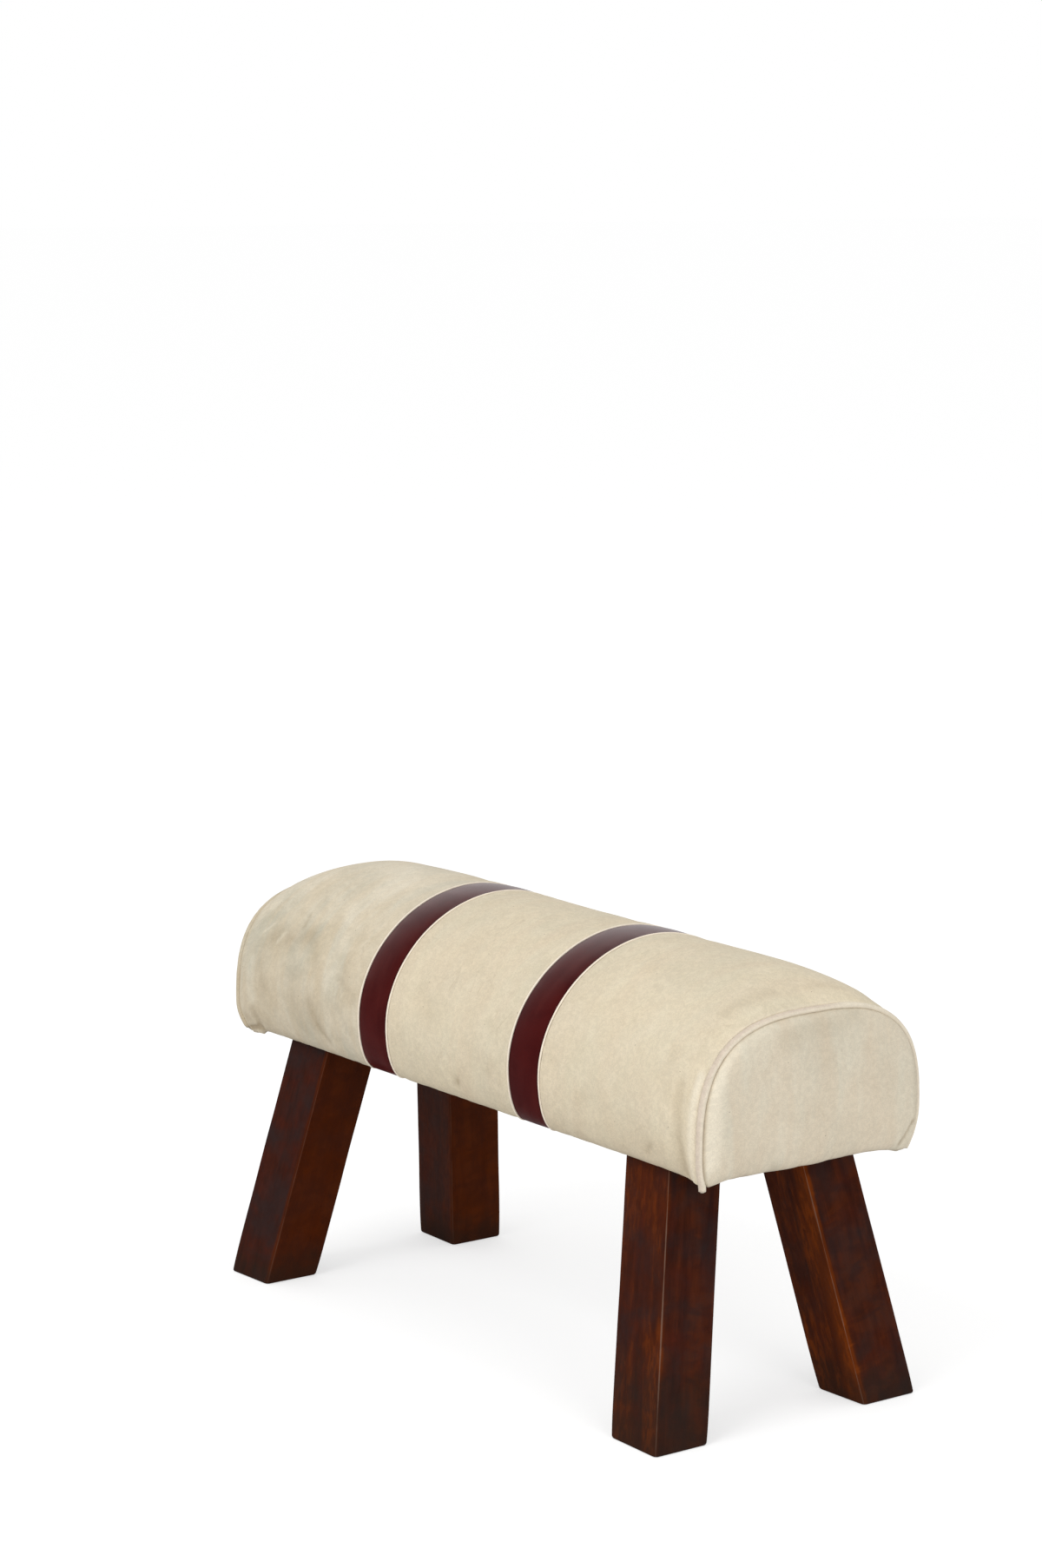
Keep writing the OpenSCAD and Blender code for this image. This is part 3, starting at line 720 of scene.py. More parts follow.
@dataclass(frozen=True)
class Finish:
    """A finish, built once as the material of its name."""

    name: str

    def build(self) -> None:
        """Make the material from what the finish feeds its shader."""
        material = bpy.data.materials.new(self.name)
        material.use_nodes = True
        r = Recipe(material.node_tree)
        shader = r.fill(r.node("BsdfPrincipled"), **self.surface(r))
        r.fill(r.node("OutputMaterial"), Surface=shader["BSDF"])

    def surface(self, r: Recipe) -> dict[str, Value]:
        """What the shader's inputs get, by name."""
        raise NotImplementedError(self.name)


@dataclass(frozen=True)
class Nubuck(Finish):
    """Pale buffed leather with a short nap, cloudy from piece to piece."""

    body: Shade = (222, 209, 182)
    cool: Shade = (205, 197, 174)
    warm: Shade = (213, 193, 167)
    # Pale clouds, and the painted highlight where the tone is below 0.
    pale: Shade = (234, 224, 203)
    # Painted shade and stains where the tone is above 0, painted shade along the seams, and veins.
    dirt: Shade = (158, 140, 112)
    # Painted highlight along the seam beside the welt.
    edge: Shade = (246, 238, 220)
    speck: Shade = (96, 74, 54)
    clouds: float = 0.5
    streaks: float = 0.35
    cloud_size: float = 0.10
    shift: float = 0.0

    def surface(self, r: Recipe) -> dict[str, Value]:
        """Large and small clouds, then the tone's painted shade, painted highlight, rubs and stains, painted
        shade along the seams with a painted highlight beside the welt, veins and specks, under a nap with
        pale tips.
        """
        hide, tone, seam = r.mark("hide", "Vector"), r.mark("tone"), r.mark("seam")
        large = r.effect(Effect.MOTTLE, Vector=hide, Size=self.cloud_size, Stretch=1.5, Shift=self.shift)
        small = r.effect(Effect.MOTTLE, Vector=hide, Size=0.030, Stretch=1.2, Shift=self.shift + 3.3)
        nap = r.effect(Effect.NAP, Vector=hide, Fibre=0.0012)
        marks = r.effect(Effect.BLEMISH, Vector=hide, Spacing=0.085, Speck=0.0006, Vein=0.07)
        colour = r.coats(self.body, (
            (large["Cloud"] * self.clouds, self.cool),
            (large["Streak"] * self.streaks, self.warm),
            (small["Cloud"] * (self.clouds * 0.34), self.pale),
            (small["Streak"] * (self.clouds * 0.22), self.warm),
            # The tone paints shade and stains above 0 and a highlight below 0.
            (tone.remap(0.0, 1.0, 0.0, 0.75), self.dirt),
            (tone.remap(0.0, -1.0, 0.0, 0.8), self.pale),
            # The seam mark paints shade along the stitched edges, and a highlight beside the welt where it is
            # below 0.
            (seam.remap(0.0, 1.0, 0.0, 0.4), self.dirt),
            (seam.remap(0.0, -1.0, 0.0, 0.9), self.edge),
            (marks["Veins"] * 0.16, self.dirt),
            (marks["Specks"] * 0.55, self.speck),
        ))
        tips = r.make("CombineXYZ", *[nap["Tips"].remap(0.0, 1.0, 0.925, 1.055)] * 3)
        return {
            "Base Color": r.mix(1.0, colour, tips, "MULTIPLY"),
            "Roughness": nap["Tips"].remap(0.0, 1.0, 0.84, 0.70),
            "Specular IOR Level": 0.12,
            "Sheen Weight": 0.06,
            "Sheen Roughness": 0.4,
            "Normal": r.relief(nap["Height"] - marks["Veins"] * 0.35, 0.0005, 0.4),
        }


@dataclass(frozen=True)
class WaxedHide(Finish):
    """Dark smooth leather, waxed so that it takes a soft shine."""

    body: Shade = (75, 22, 21)
    deep: Shade = (52, 12, 14)
    lit: Shade = (98, 40, 34)
    # Painted shade along the seams.
    seam: Shade = (34, 12, 14)
    shift: float = 0.0

    def surface(self, r: Recipe) -> dict[str, Value]:
        """Patches and creases in the grain, painted shade along the seams, under a coat that shines at a
        glance on upward faces.
        """
        hide = r.mark("hide", "Vector")
        patches = r.effect(Effect.MOTTLE, Vector=hide, Size=0.045, Stretch=2.0, Shift=self.shift)
        pebble = r.effect(Effect.PEBBLE, Vector=hide, Grain=0.0011)
        colour = r.coats(self.body, (
            (patches["Cloud"] * 0.5, self.deep),
            (patches["Streak"] * 0.14, self.lit),
            (pebble["Creases"] * 0.25, self.deep),
            # Painted shade along the stitched edges.
            (r.mark("seam") * 0.7, self.seam),
        ))
        glancing = r.fill(r.node("LayerWeight"), Blend=0.5)["Facing"].remap(0.30, 0.74)
        upward = r.fill(r.node("SeparateXYZ"), Vector=r.fill(r.node("NewGeometry"))["Normal"])["Z"]
        return {
            "Base Color": colour,
            "Roughness": patches["Cloud"].remap(0.0, 1.0, 0.30, 0.42),
            "Specular IOR Level": 0.012,
            "Coat Weight": glancing * upward.remap(0.15, 0.7),
            "Coat Roughness": 0.40,
            "Normal": r.relief(pebble["Height"], 0.00012, 0.45),
        }


@dataclass(frozen=True)
class StainedTimber(Finish):
    """Dark stained hardwood, satin, patchy, and rubbed pale along its edges."""

    dark: Shade = (46, 20, 14)
    body: Shade = (67, 30, 20)
    russet: Shade = (80, 32, 20)
    # Painted warm tint on the faces that catch the light.
    ember: Shade = (74, 28, 4)
    # Painted orange glints, and thinned finish along the edges.
    glow: Shade = (126, 58, 14)
    # Cold stain, strongest on the faces with the least painted warm tint.
    char: Shade = (46, 34, 33)
    pore: Shade = (30, 14, 10)
    rubbed: Shade = (140, 120, 106)
    grime: Shade = (42, 35, 29)

    def surface(self, r: Recipe) -> dict[str, Value]:
        """Grain and stain, a painted warm tint on the faces that catch the light and cold stain on the
        others, painted orange glints, then pores, worn edges, and grime near the floor.
        """
        stock, warmth, glint = r.mark("stock", "Vector"), r.mark("warm"), r.mark("glint")
        grain = r.effect(Effect.TIMBER, Vector=stock, Width=0.0075, Length=0.07, Pore=0.0007)
        wear = r.effect(Effect.WEAR, Vector=stock, Edge=r.mark("edge"), Ragged=0.016, Level=0.36)
        grime = r.effect(Effect.DUST, Vector=stock, Height=r.mark("height"), Reach=0.05, Patch=0.018)["Mask"]
        blotch = r.effect(Effect.MOTTLE, Vector=stock, Size=0.016, Stretch=2.4, Shift=2.2)
        stain = r.effect(Effect.MOTTLE, Vector=stock, Size=0.045, Stretch=2.4, Shift=5.2)
        # Painted orange glints in the grain's patches, strongest on the faces with the painted warm tint.
        glint_patches = grain["Patches"] * warmth.remap(0.0, 1.0, 0.16, 0.85)
        glint_patches = glint_patches * blotch["Streak"].remap(0.0, 1.0, 0.3, 0.9)
        colour = r.coats(self.dark, (
            (grain["Figure"], self.body),
            (stain["Streak"] * 0.5, self.russet),
            # Painted warm tint, and cold stain where it is weak.
            (warmth * 0.8, self.ember),
            (stain["Cloud"] * warmth.remap(0.0, 1.0, 0.9, 0.2), self.char),
            (blotch["Cloud"] * 0.34, self.dark),
            (glint_patches * glint, self.glow),
            # A painted orange glint where the warm tint is strongest.
            (warmth.remap(0.72, 1.0) * (glint * 0.25), self.glow),
            (grain["Pores"] * 0.25, self.pore),
            (wear["Thinned"] * (glint * 0.10), self.glow),
            (wear["Rubbed"] * glint.remap(0.0, 1.0, 0.10, 0.36), self.rubbed),
            (grime * 0.55, self.grime),
        ))
        return {
            "Base Color": colour,
            "Roughness": grain["Figure"].remap(0.0, 1.0, 0.40, 0.50) + grime * 0.2,
            "Specular IOR Level": 0.014,
            "Normal": r.relief(grain["Height"], 0.0003, 0.5),
        }


@dataclass(frozen=True)
class RawTimber(Finish):
    """Plain unfinished wood or plywood, with glue lines across its thickness if it is plywood."""

    body: Shade
    dark: Shade
    grain: str = "X"
    plies: str = ""
    ply: float = 0.0015

    def surface(self, r: Recipe) -> dict[str, Value]:
        """Figure and pores along the grain's axis, and the dark lines between plies."""
        parts = r.fill(r.node("SeparateXYZ"), Vector=r.place())
        across = (parts[axis] for axis in "XYZ" if axis != self.grain)
        turned = r.make("CombineXYZ", *across, parts[self.grain])
        grain = r.effect(Effect.TIMBER, Vector=turned, Width=0.008, Length=0.2, Pore=0.0008)
        layers = [(grain["Figure"] * 0.6, self.dark), (grain["Pores"] * 0.35, self.dark)]
        if self.plies:
            lines = (parts[self.plies] / self.ply).step("PINGPONG", 1.0)
            layers.append((lines.remap(0.35, 0.65) * 0.3, self.dark))
        return {
            "Base Color": r.coats(self.body, layers),
            "Roughness": grain["Pores"].remap(0.0, 1.0, 0.62, 0.8),
            "Normal": r.relief(grain["Height"], 0.0002, 0.5),
        }


@dataclass(frozen=True)
class PlatedMetal(Finish):
    """Plated or turned metal with faint scratches and a few dull spots."""

    body: Shade
    dull: Shade
    smooth: float = 0.28

    def surface(self, r: Recipe) -> dict[str, Value]:
        """Dull spots in the colour and the polish, and scratches in the relief."""
        place = r.place()
        spots = r.effect(Effect.MOTTLE, Vector=place, Size=0.004, Stretch=4.0)
        scratches = r.effect(Effect.FIBRES, Vector=place, Size=0.0006)["Strands"]
        return {
            "Base Color": r.coats(self.body, [(spots["Cloud"] * 0.5, self.dull)]),
            "Metallic": 1.0,
            "Roughness": spots["Streak"].remap(0.0, 1.0, self.smooth, self.smooth + 0.16),
            "Normal": r.relief(scratches, 0.00004, 0.4),
        }


@dataclass(frozen=True)
class Filling(Finish):
    """Foam, wadding, cord or felted cloth: a fibrous or open-celled soft stuff."""

    body: Shade
    shade: Shade
    size: float
    depth: float
    holes: float = 0.0

    def surface(self, r: Recipe) -> dict[str, Value]:
        """Pale strands over shade, with soft clouds and open cells."""
        place = r.place()
        tangle = r.effect(Effect.FIBRES, Vector=place, Size=self.size)
        clouds = r.effect(Effect.MOTTLE, Vector=place, Size=self.size * 22, Stretch=1.4)["Cloud"]
        colour = r.coats(self.shade, (
            (tangle["Strands"], self.body),
            (clouds * 0.3, self.shade),
            ((1.0 - tangle["Holes"]) * self.holes, self.shade),
        ))
        return {
            "Base Color": colour,
            "Roughness": tangle["Strands"].remap(0.0, 1.0, 0.95, 0.8),
            "Sheen Weight": 0.15,
            "Normal": r.relief(tangle["Strands"], self.depth, 0.7),
        }


# The seat's shape


@dataclass(frozen=True)
class SeatSection:
    """Cross-section of the seat, which narrows and squares off towards both ends."""

    seam_x: float = 0.405
    half_w: float = 0.150
    under_z: float = 0.276
    crest_z: float = 0.466
    end_narrowing: float = 0.0066
    crown_drop: float = 0.0322
    belly_rise: float = 0.060
    end_belly_rise: float = 0.0336
    belly_tuck: float = 0.024
    end_belly_tuck: float = 0.0104
    middle_power: float = 1.95
    end_power: float = 2.86
    crown_power: float = 11.0
    hem_w: float = 0.016
    leg_x: float = 0.2958
    notch_half: float = 0.0362
    notch_ease: float = 0.006
    notch_y: float = 0.1195

    def blend(self, x: float, middle: float, end: float) -> float:
        """A size at a station, between its value at the middle and at the ends."""
        share = min(abs(x) / self.seam_x, 1.0) ** self.crown_power
        return middle + (end - middle) * share

    def half_width(self, x: float) -> float:
        """Half of the seat's width at its widest line."""
        return self.half_w - self.blend(x, 0.0, self.end_narrowing)

    def belly_z(self, x: float) -> float:
        """Height of the widest line."""
        return self.under_z + self.blend(x, self.belly_rise, self.end_belly_rise)

    def top_z(self, x: float) -> float:
        """Height of the crest."""
        return self.crest_z - self.blend(x, 0.0, self.crown_drop)

    def edge_y(self, x: float) -> float:
        """Half of the width of the flat underside."""
        return self.half_width(x) - self.blend(x, self.belly_tuck, self.end_belly_tuck)

    def hem_y(self, x: float) -> float:
        """How far in the turned-under edge ends, cut short beside a leg."""
        full = self.edge_y(x) - self.hem_w
        beside = 1 - float(ease(np.array((abs(abs(x) - self.leg_x) - self.notch_half) / self.notch_ease)))
        return full + (self.notch_y - full) * beside

    def side(self, x: float, count: int, depth: float, start_deg: float = 0.0) -> Array:
        """The front's lower side from the underside edge up to the widest line.

        Args:
            x: Station along the seat.
            count: How many points.
            depth: How far below the cover's face.
            start_deg: Angle at which to start, with 0 at the underside edge.

        Returns:
            Points as (count, y z).
        """
        a = np.radians(np.linspace(start_deg, 90.0, 181))
        edge, wide, belly = self.edge_y(x), self.half_width(x), self.belly_z(x)
        y = edge + (wide - edge - depth) * np.sin(a)
        z = belly - (belly - self.under_z - depth) * np.cos(a)
        return evenly(np.stack([-y, z], axis=1), count)

    def over(self, x: float, count: int, depth: float) -> Array:
        """Over the top from the front's widest line to the back's.

        Args:
            x: Station along the seat.
            count: How many points, an odd number.
            depth: How far below the cover's face.

        Returns:
            Points as (count, y z).
        """
        share = np.linspace(0.0, 1.0, 401)
        turn = np.radians(90.0) * share * share * (3 - 2 * share)
        power = 2 / self.blend(x, self.middle_power, self.end_power)
        belly = self.belly_z(x)
        y = -(self.half_width(x) - depth) * np.cos(turn) ** power
        z = belly + (self.top_z(x) - belly - depth) * np.sin(turn) ** power
        return mirrored(np.stack([y, z], axis=1), count)

    def ring(self, x: float, depth: float, hem: int, side: int, top: int) -> Array:
        """The whole cover's section, from the front's turned-under edge to the back's.

        Args:
            x: Station along the seat.
            depth: How far below the cover's face.
            hem: Points under each edge.
            side: Points up each lower side.
            top: Points over the top, an odd number.

        Returns:
            Points as (place, x y z).
        """
        under = np.linspace(self.hem_y(x), self.edge_y(x), hem)[:-1]
        turned = np.stack([-under, np.full(hem - 1, self.under_z + depth)], axis=1)
        rise = np.concatenate([turned, self.side(x, side, depth)[:-1]])
        return at(x, flanked(rise, self.over(x, top, depth)))


@dataclass(frozen=True)
class Seams:
    """Places of the sewn lines along the seat."""

    inner_x: float = 0.107
    outer_x: float = 0.159
    beside_piping: float = 0.0015
    end_x: float = 0.4014
    fine: tuple[float, ...] = (
        0, 0.0002, 0.0005, 0.0009, 0.0014, 0.002, 0.0028, 0.004, 0.0056, 0.0078, 0.0105,
    )


@dataclass(frozen=True)
class SewnEdge:
    """How the leather lies beside a seam: rolled in at the stitches, and pressed down near them."""

    roll: float
    press: float
    reach: float = 0.0065
    # Painted shade along the seam; below 0, a painted highlight.
    shade: float = 1.0

    def dip(self, away: Array) -> Array:
        """How far the face lies below its usual level at a distance from the seam."""
        turned_in = self.roll * (1 - np.sqrt(1 - np.clip(1 - away / self.roll, 0.0, 1.0) ** 2))
        return turned_in + self.press * np.exp(-((away / self.reach) ** 2))


@dataclass(frozen=True)
class Stroke:
    """A short crease, pull, rub or stain on a piece of leather, as a line on its own flat coordinates. Its
    tone paints shade into creases, hollows and rims, a highlight onto ridges and rolled edges, and stains.
    """

    start: tuple[float, float]
    stop: tuple[float, float]
    width: float
    # Painted into the colour: darker above 0, paler below 0.
    tone: float = 0.0
    lift: float = 0.0

    def strength(self, flat: Array) -> Array:
        """How strongly the stroke shows.

        Args:
            flat: A grid of flat coordinates.

        Returns:
            A value from 0 to 1 for each of them.
        """
        first, last = np.array(self.start), np.array(self.stop)
        span = last - first
        share = np.clip(((flat - first) @ span) / max(float(span @ span), 1e-9), 0, 1)
        gap = np.linalg.norm(flat - first - share[..., None] * span, axis=-1)
        return np.exp(-((gap / self.width) ** 2))


@dataclass(frozen=True)
class Corner:
    """How one bottom corner of the cover hangs below the board and tucks in."""

    end: End
    side: Side
    drop: float
    reach: float
    shelf: float = 0.0
    tuck_x: float = 0.0
    tuck_y: float = 0.0
    fade: float = 0.016
    tuck_height: float = 0.030
    tuck_reach: float = 0.045

    def move(self, points: Array, along: int) -> Array:
        """Let points of the cover hang with the corner.

        Args:
            points: Points as (..., xyz).
            along: 0 for a piece whose edge runs along the seat to the corner, 1 for one that runs across.

        Returns:
            How far each point moves.
        """
        away = (SECTION.seam_x - self.end.value * points[..., 0],
                SECTION.edge_y(SECTION.seam_x) - self.side.value * points[..., 1])
        gone = (np.maximum(away[along], 0) + 2.0 * np.maximum(away[1 - along], 0)) / self.reach
        level = ease(1 - gone) ** 1.5 * (1 - self.shelf) + ease((1 - gone) / 0.3) * self.shelf
        rise = np.maximum(points[..., 2] - SECTION.under_z, 0)
        spread = np.exp(-((gone * self.reach / self.tuck_reach) ** 2))
        pulled = np.clip(1 - rise / self.tuck_height, 0, 1) ** 2 * spread
        lowered = level * np.exp(-rise / self.fade)
        return np.stack([-self.end.value * self.tuck_x * pulled, -self.side.value * self.tuck_y * pulled,
                         -self.drop * lowered], axis=-1)


SECTION = SeatSection()
SEAMS = Seams()
SEAM_ALLOWANCE = 0.02
UNDER_LEATHER_DEG = 24.0
END_RIMS = {End.LEFT: 0.4060, End.RIGHT: 0.4068}
# Beside the welt the seam gets a painted highlight instead of painted shade.
BY_PIPING = SewnEdge(0.0007, 0.0002, shade=0.2)
BY_WELT = SewnEdge(0.0017, 0.0006, 0.010, shade=-0.9)
BAND_EDGE = SewnEdge(0.0007, 0.0002)
CORNERS = (
    Corner(End.RIGHT, Side.FRONT, 0.0056, 0.030, shelf=0.15, tuck_x=0.0008),
    Corner(End.RIGHT, Side.BACK, 0.0078, 0.040, tuck_x=0.0015, tuck_y=0.0085, tuck_height=0.045),
    Corner(End.LEFT, Side.FRONT, 0.0062, 0.041, shelf=0.70, tuck_x=0.0120, tuck_y=0.0030, tuck_height=0.032),
    Corner(End.LEFT, Side.BACK, 0.0046, 0.027, shelf=0.4, tuck_x=0.0030, tuck_y=0.0040),
)


def slump(points: Array, along: int) -> Array:
    """Let a grid of the cover's points hang with all four corners."""
    return points + sum(corner.move(points, along) for corner in CORNERS)


def stroked(kind: str, strokes: Iterable[Stroke], flat: Array) -> Array:
    """The tone or the lift of all strokes together on a grid of flat coordinates."""
    return sum(getattr(stroke, kind) * stroke.strength(flat) for stroke in strokes)


@dataclass
class CoverPanel:
    """One piece of leather across the seat, sewn along both edges and turned under at front and back."""

    name: str
    node: str
    start: float
    stop: float
    finish: str
    seed: int
    edges: tuple[SewnEdge, SewnEdge] = (BY_PIPING, BY_PIPING)
    swell: float = 0.0
    strokes: tuple[Stroke, ...] = ()
    settling: Settling | None = None
    slot: str = "cream_leather"
    cloudiness: float = 0.0007
    sag: float = 0.0009
    pull: float = 0.00045
    gather: float = 0.00024
    step: float = 0.0032
    thickness: float = 0.0025
    counts: tuple[int, int, int] = (7, 26, 141)
    coarse_step: float = 0.0066
    coarse_counts: tuple[int, int, int] = (4, 13, 67)
    staple_pitch: float = 0.058
    staple_half: float = 0.008
    between_staples: float = 0.35
    seam_reach: float = 0.0013

    def build(self) -> None:
        xs = stations(self.start, self.stop, self.step, SEAMS.fine)
        outer, inner = (
            np.stack([SECTION.ring(x, depth, *self.counts) for x in xs]) for depth in (0.0, self.thickness)
        )
        along = lengths_along(outer)
        rise = np.maximum(outer[..., 2] - SECTION.under_z, 0.0)
        hide = np.stack([outer[..., 0], along, np.full_like(along, self.seed * 0.31)], axis=2)
        lift = self.relief(outer, along, rise)
        shaped = slump(outer + facing(outer) * lift[..., None] + self.settled(xs, along), 0)
        first, last = self.edges
        # Painted shade along each stitched edge, by that edge's shade; beside the welt the shade is below 0,
        # a painted highlight.
        line = first.shade * np.exp(-(xs - self.start) / self.seam_reach)
        line += last.shade * np.exp(-(self.stop - xs) / self.seam_reach)
        # Darker along the bottom edge, with painted shade over the lower side; the strokes add painted shade,
        # painted highlight and stains.
        tone = 0.2 * np.exp(-rise / 0.005) + 0.26 * np.exp(-((rise / 0.055) ** 2))
        tone += stroked("tone", self.strokes, hide[..., :2])
        marks = {"hide": hide, "seam": np.broadcast_to(line[:, None], along.shape), "tone": tone}
        made = make_piece(self.name, shell(shaped, slump(inner, 0), marks), self.finish, self.node)
        girth = float(np.ptp(along[len(xs) // 2]))
        wide = self.stop - self.start + SEAM_ALLOWANCE

    def settled(self, xs: Array, along: Array) -> Array:
        """How far the cloth solver moves each point of the fine face.

        Args:
            xs: Stations of the fine face.
            along: Distance of its points over the seat.

        Returns:
            The moves, as (row, place, xyz), or zero.
        """
        if self.settling is None:
            return np.zeros(3)
        rows = np.linspace(self.start, self.stop, int((self.stop - self.start) / self.coarse_step) + 1)
        rest = np.stack([SECTION.ring(x, 0.0, *self.coarse_counts) for x in rows])
        off_staple = np.abs((rest[..., 0] / self.staple_pitch + 0.5) % 1 - 0.5) * self.staple_pitch
        held = np.where(off_staple < self.staple_half, 1.0, self.between_staples)
        held[rest[..., 2] >= SECTION.under_z + 0.0005] = 0.0
        held[[0, -1]] = held[:, [0, -1]] = 1.0
        moved = refit(self.settling.run(rest, held), rows, xs).swapaxes(0, 1)
        girth = lengths_along(rest)[len(rows) // 2]
        return refit(moved, girth, along[len(xs) // 2]).swapaxes(0, 1)

    def relief(self, outer: Array, along: Array, rise: Array) -> Array:
        """How far the face stands out from the plain section.

        Args:
            outer: Points of the plain face.
            along: Distance of each over the seat from its crest.
            rise: Height of each above the underside.

        Returns:
            Distances outwards.
        """
        x = outer[..., 0]
        from_start, from_stop = x - self.start, self.stop - x
        away = np.minimum(from_start, from_stop)
        middle = 1 - ((x - (self.start + self.stop) / 2) / ((self.stop - self.start) / 2)) ** 2
        flat = np.stack([x, along], axis=2)
        clouds = swirl_over(outer, (0.11, 0.11, 0.11), self.seed)
        clouds += 0.35 * swirl_over(outer, (0.038, 0.05, 0.05), self.seed + 20)
        gathers = self.gather * swirl_over(flat, (0.05, 0.0105), self.seed + 40) * np.exp(-away / 0.011)
        sags = self.sag * swirl_over(flat[..., :1], (0.031,), 77) * np.exp(-rise / 0.022)
        pulls = self.pull * swirl_over(flat, (0.0085, 0.11), self.seed + 60) * np.exp(-rise / 0.034)
        loose = (self.cloudiness * clouds + sags + pulls) * (1 - np.exp(-((away / 0.018) ** 2)))
        loose += stroked("lift", self.strokes, flat) + gathers
        dip = self.edges[0].dip(from_start) + self.edges[1].dip(from_stop)
        full = self.swell * middle * ease(rise / 0.02)
        return full - dip * ease(rise / 0.004 + 0.3) + loose * ease(rise / 0.006)


@dataclass
class EndPanel:
    """The D-shaped leather panel that closes one end of the seat, puffed out over its foam."""

    end: End
    seed: int = 0
    strokes: tuple[Stroke, ...] = ()
    inset: float = 0.0038
    rows: int = 64
    columns: int = 90
    crown: float = 0.0066
    roll: float = 0.0050
    roll_reach: float = 0.0042
    thickness: float = 0.0025
    under_round: float = 0.0065
    hem_x: float = 0.384
    hem_rows: int = 6
    hem_short: float = 0.002
    middle_z: float = 0.3549
    shoulder: int = 92
    turned_under: float = 0.036
    used_share: float = 0.9

    def outline(self) -> tuple[Array, Array, Array]:
        """The D's left side, top and right side, as points (y z) from corner to corner.

        Returns:
            The three lines.
        """
        x = SECTION.seam_x
        whole = flanked(SECTION.side(x, 40, self.inset)[:-1], SECTION.over(x, 201, self.inset))
        rise = evenly(whole[: self.shoulder + 1], self.rows)
        top = evenly(whole[self.shoulder : len(whole) - self.shoulder], self.columns)
        return rise, top, rise * [-1, 1]

    def face(self) -> Array:
        """A smooth grid of (y z) that fills the D, row by row from the bottom.

        Returns:
            The grid.
        """
        left, top, right = self.outline()
        t = np.linspace(0, 1, self.rows)[:, None, None]
        u = np.linspace(0, 1, self.columns)[None, :, None]
        along = np.linspace(left[0, 0], right[0, 0], self.columns)
        bottom = np.stack([along, np.full(self.columns, left[0, 1])], axis=1)
        low = bottom[0] * (1 - u) + bottom[-1] * u
        high = top[0] * (1 - u) + top[-1] * u
        return left[:, None] * (1 - u) + right[:, None] * u + (bottom - low) * (1 - t) + (top - high) * t

    def bearings(self, flat: Array) -> tuple[Array, Array, Array]:
        """Where points of the face lie, seen from its middle.

        Args:
            flat: The points as (..., y z).

        Returns:
            Angle of each, its distance in from the rim, and how far out it is from 0 to 1.
        """
        left, top, right = self.outline()
        middle = np.array([0.0, self.middle_z])
        rim = np.concatenate([left, top[1:-1], right[::-1]]) - middle
        across, up = np.moveaxis(flat - middle, -1, 0)
        angle, length = np.arctan2(across, up), np.hypot(across, up)
        radius = np.interp(angle, np.arctan2(*rim.T), np.linalg.norm(rim, axis=1), period=2 * math.pi)
        floor = self.middle_z - left[0, 1]
        below = np.abs(across) < -up * abs(left[0, 0]) / floor
        radius = np.where(below, floor / np.maximum(-up, 1e-6) * length, radius)
        share = np.clip(length / np.maximum(radius, 1e-6), 0, 1)
        return angle, radius * (1 - share), share

    def puffed(self, flat: Array) -> Array:
        """The face over its foam, with its creases, at the right end.

        Args:
            flat: Its points on the flat as (row, place, y z).

        Returns:
            Its points as (row, place, xyz).
        """
        angle, away, share = self.bearings(flat)
        rise = flat[..., 1] - SECTION.under_z
        seed = self.seed
        x = END_RIMS[self.end] + self.crown * (1 - share**4)
        x += self.roll * (1 - np.exp(-away / self.roll_reach))
        turned = np.clip(1 - rise / self.under_round, 0, 1)
        x -= self.under_round * (1 - np.sqrt(1 - turned**2)) * 0.9
        loose = 0.0006 * swirl_over(flat, (0.07, 0.07), seed)
        loose += 0.0002 * swirl_over(flat, (0.024, 0.024), seed + 5)
        gathers = 0.0003 * swirl_over(np.stack([angle * 0.14, away], axis=2), (0.012, 0.05), seed + 9)
        near_rim = gathers * np.exp(-away / 0.012) * ease(away / 0.002)
        x += loose * (1 - np.exp(-((away / 0.014) ** 2))) + near_rim
        x += stroked("lift", self.strokes, flat)
        wave = 0.0014 * swirl_over(flat[..., :1], (0.034,), seed + 3)
        wave += 0.0007 * swirl_over(flat[..., :1], (0.013,), seed + 7)
        return np.stack([x, flat[..., 0], flat[..., 1] + wave * np.exp(-rise / 0.012)], axis=2)

    def hem(self, first: Array) -> Array:
        """The edge turned under the board.

        Args:
            first: The face's first row, which it runs up to.

        Returns:
            Its rows, without that one.
        """
        half = SECTION.edge_y(SECTION.seam_x) - SECTION.hem_w - self.hem_short
        start = np.stack([np.full(len(first), self.hem_x), np.clip(first[:, 1], -half, half),
                          np.full(len(first), SECTION.under_z)], axis=1)
        share = np.linspace(0, 1, self.hem_rows + 1)[:-1, None, None] ** [1, 2, 3]
        return start + (first - start) * share

    def build(self) -> None:
        flat = self.face()
        face = self.puffed(flat)
        outer = np.concatenate([self.hem(face[0]), face])
        inner = outer - facing(outer) * self.thickness
        away = self.bearings(flat)[1]
        x, y, z = np.moveaxis(outer, -1, 0)
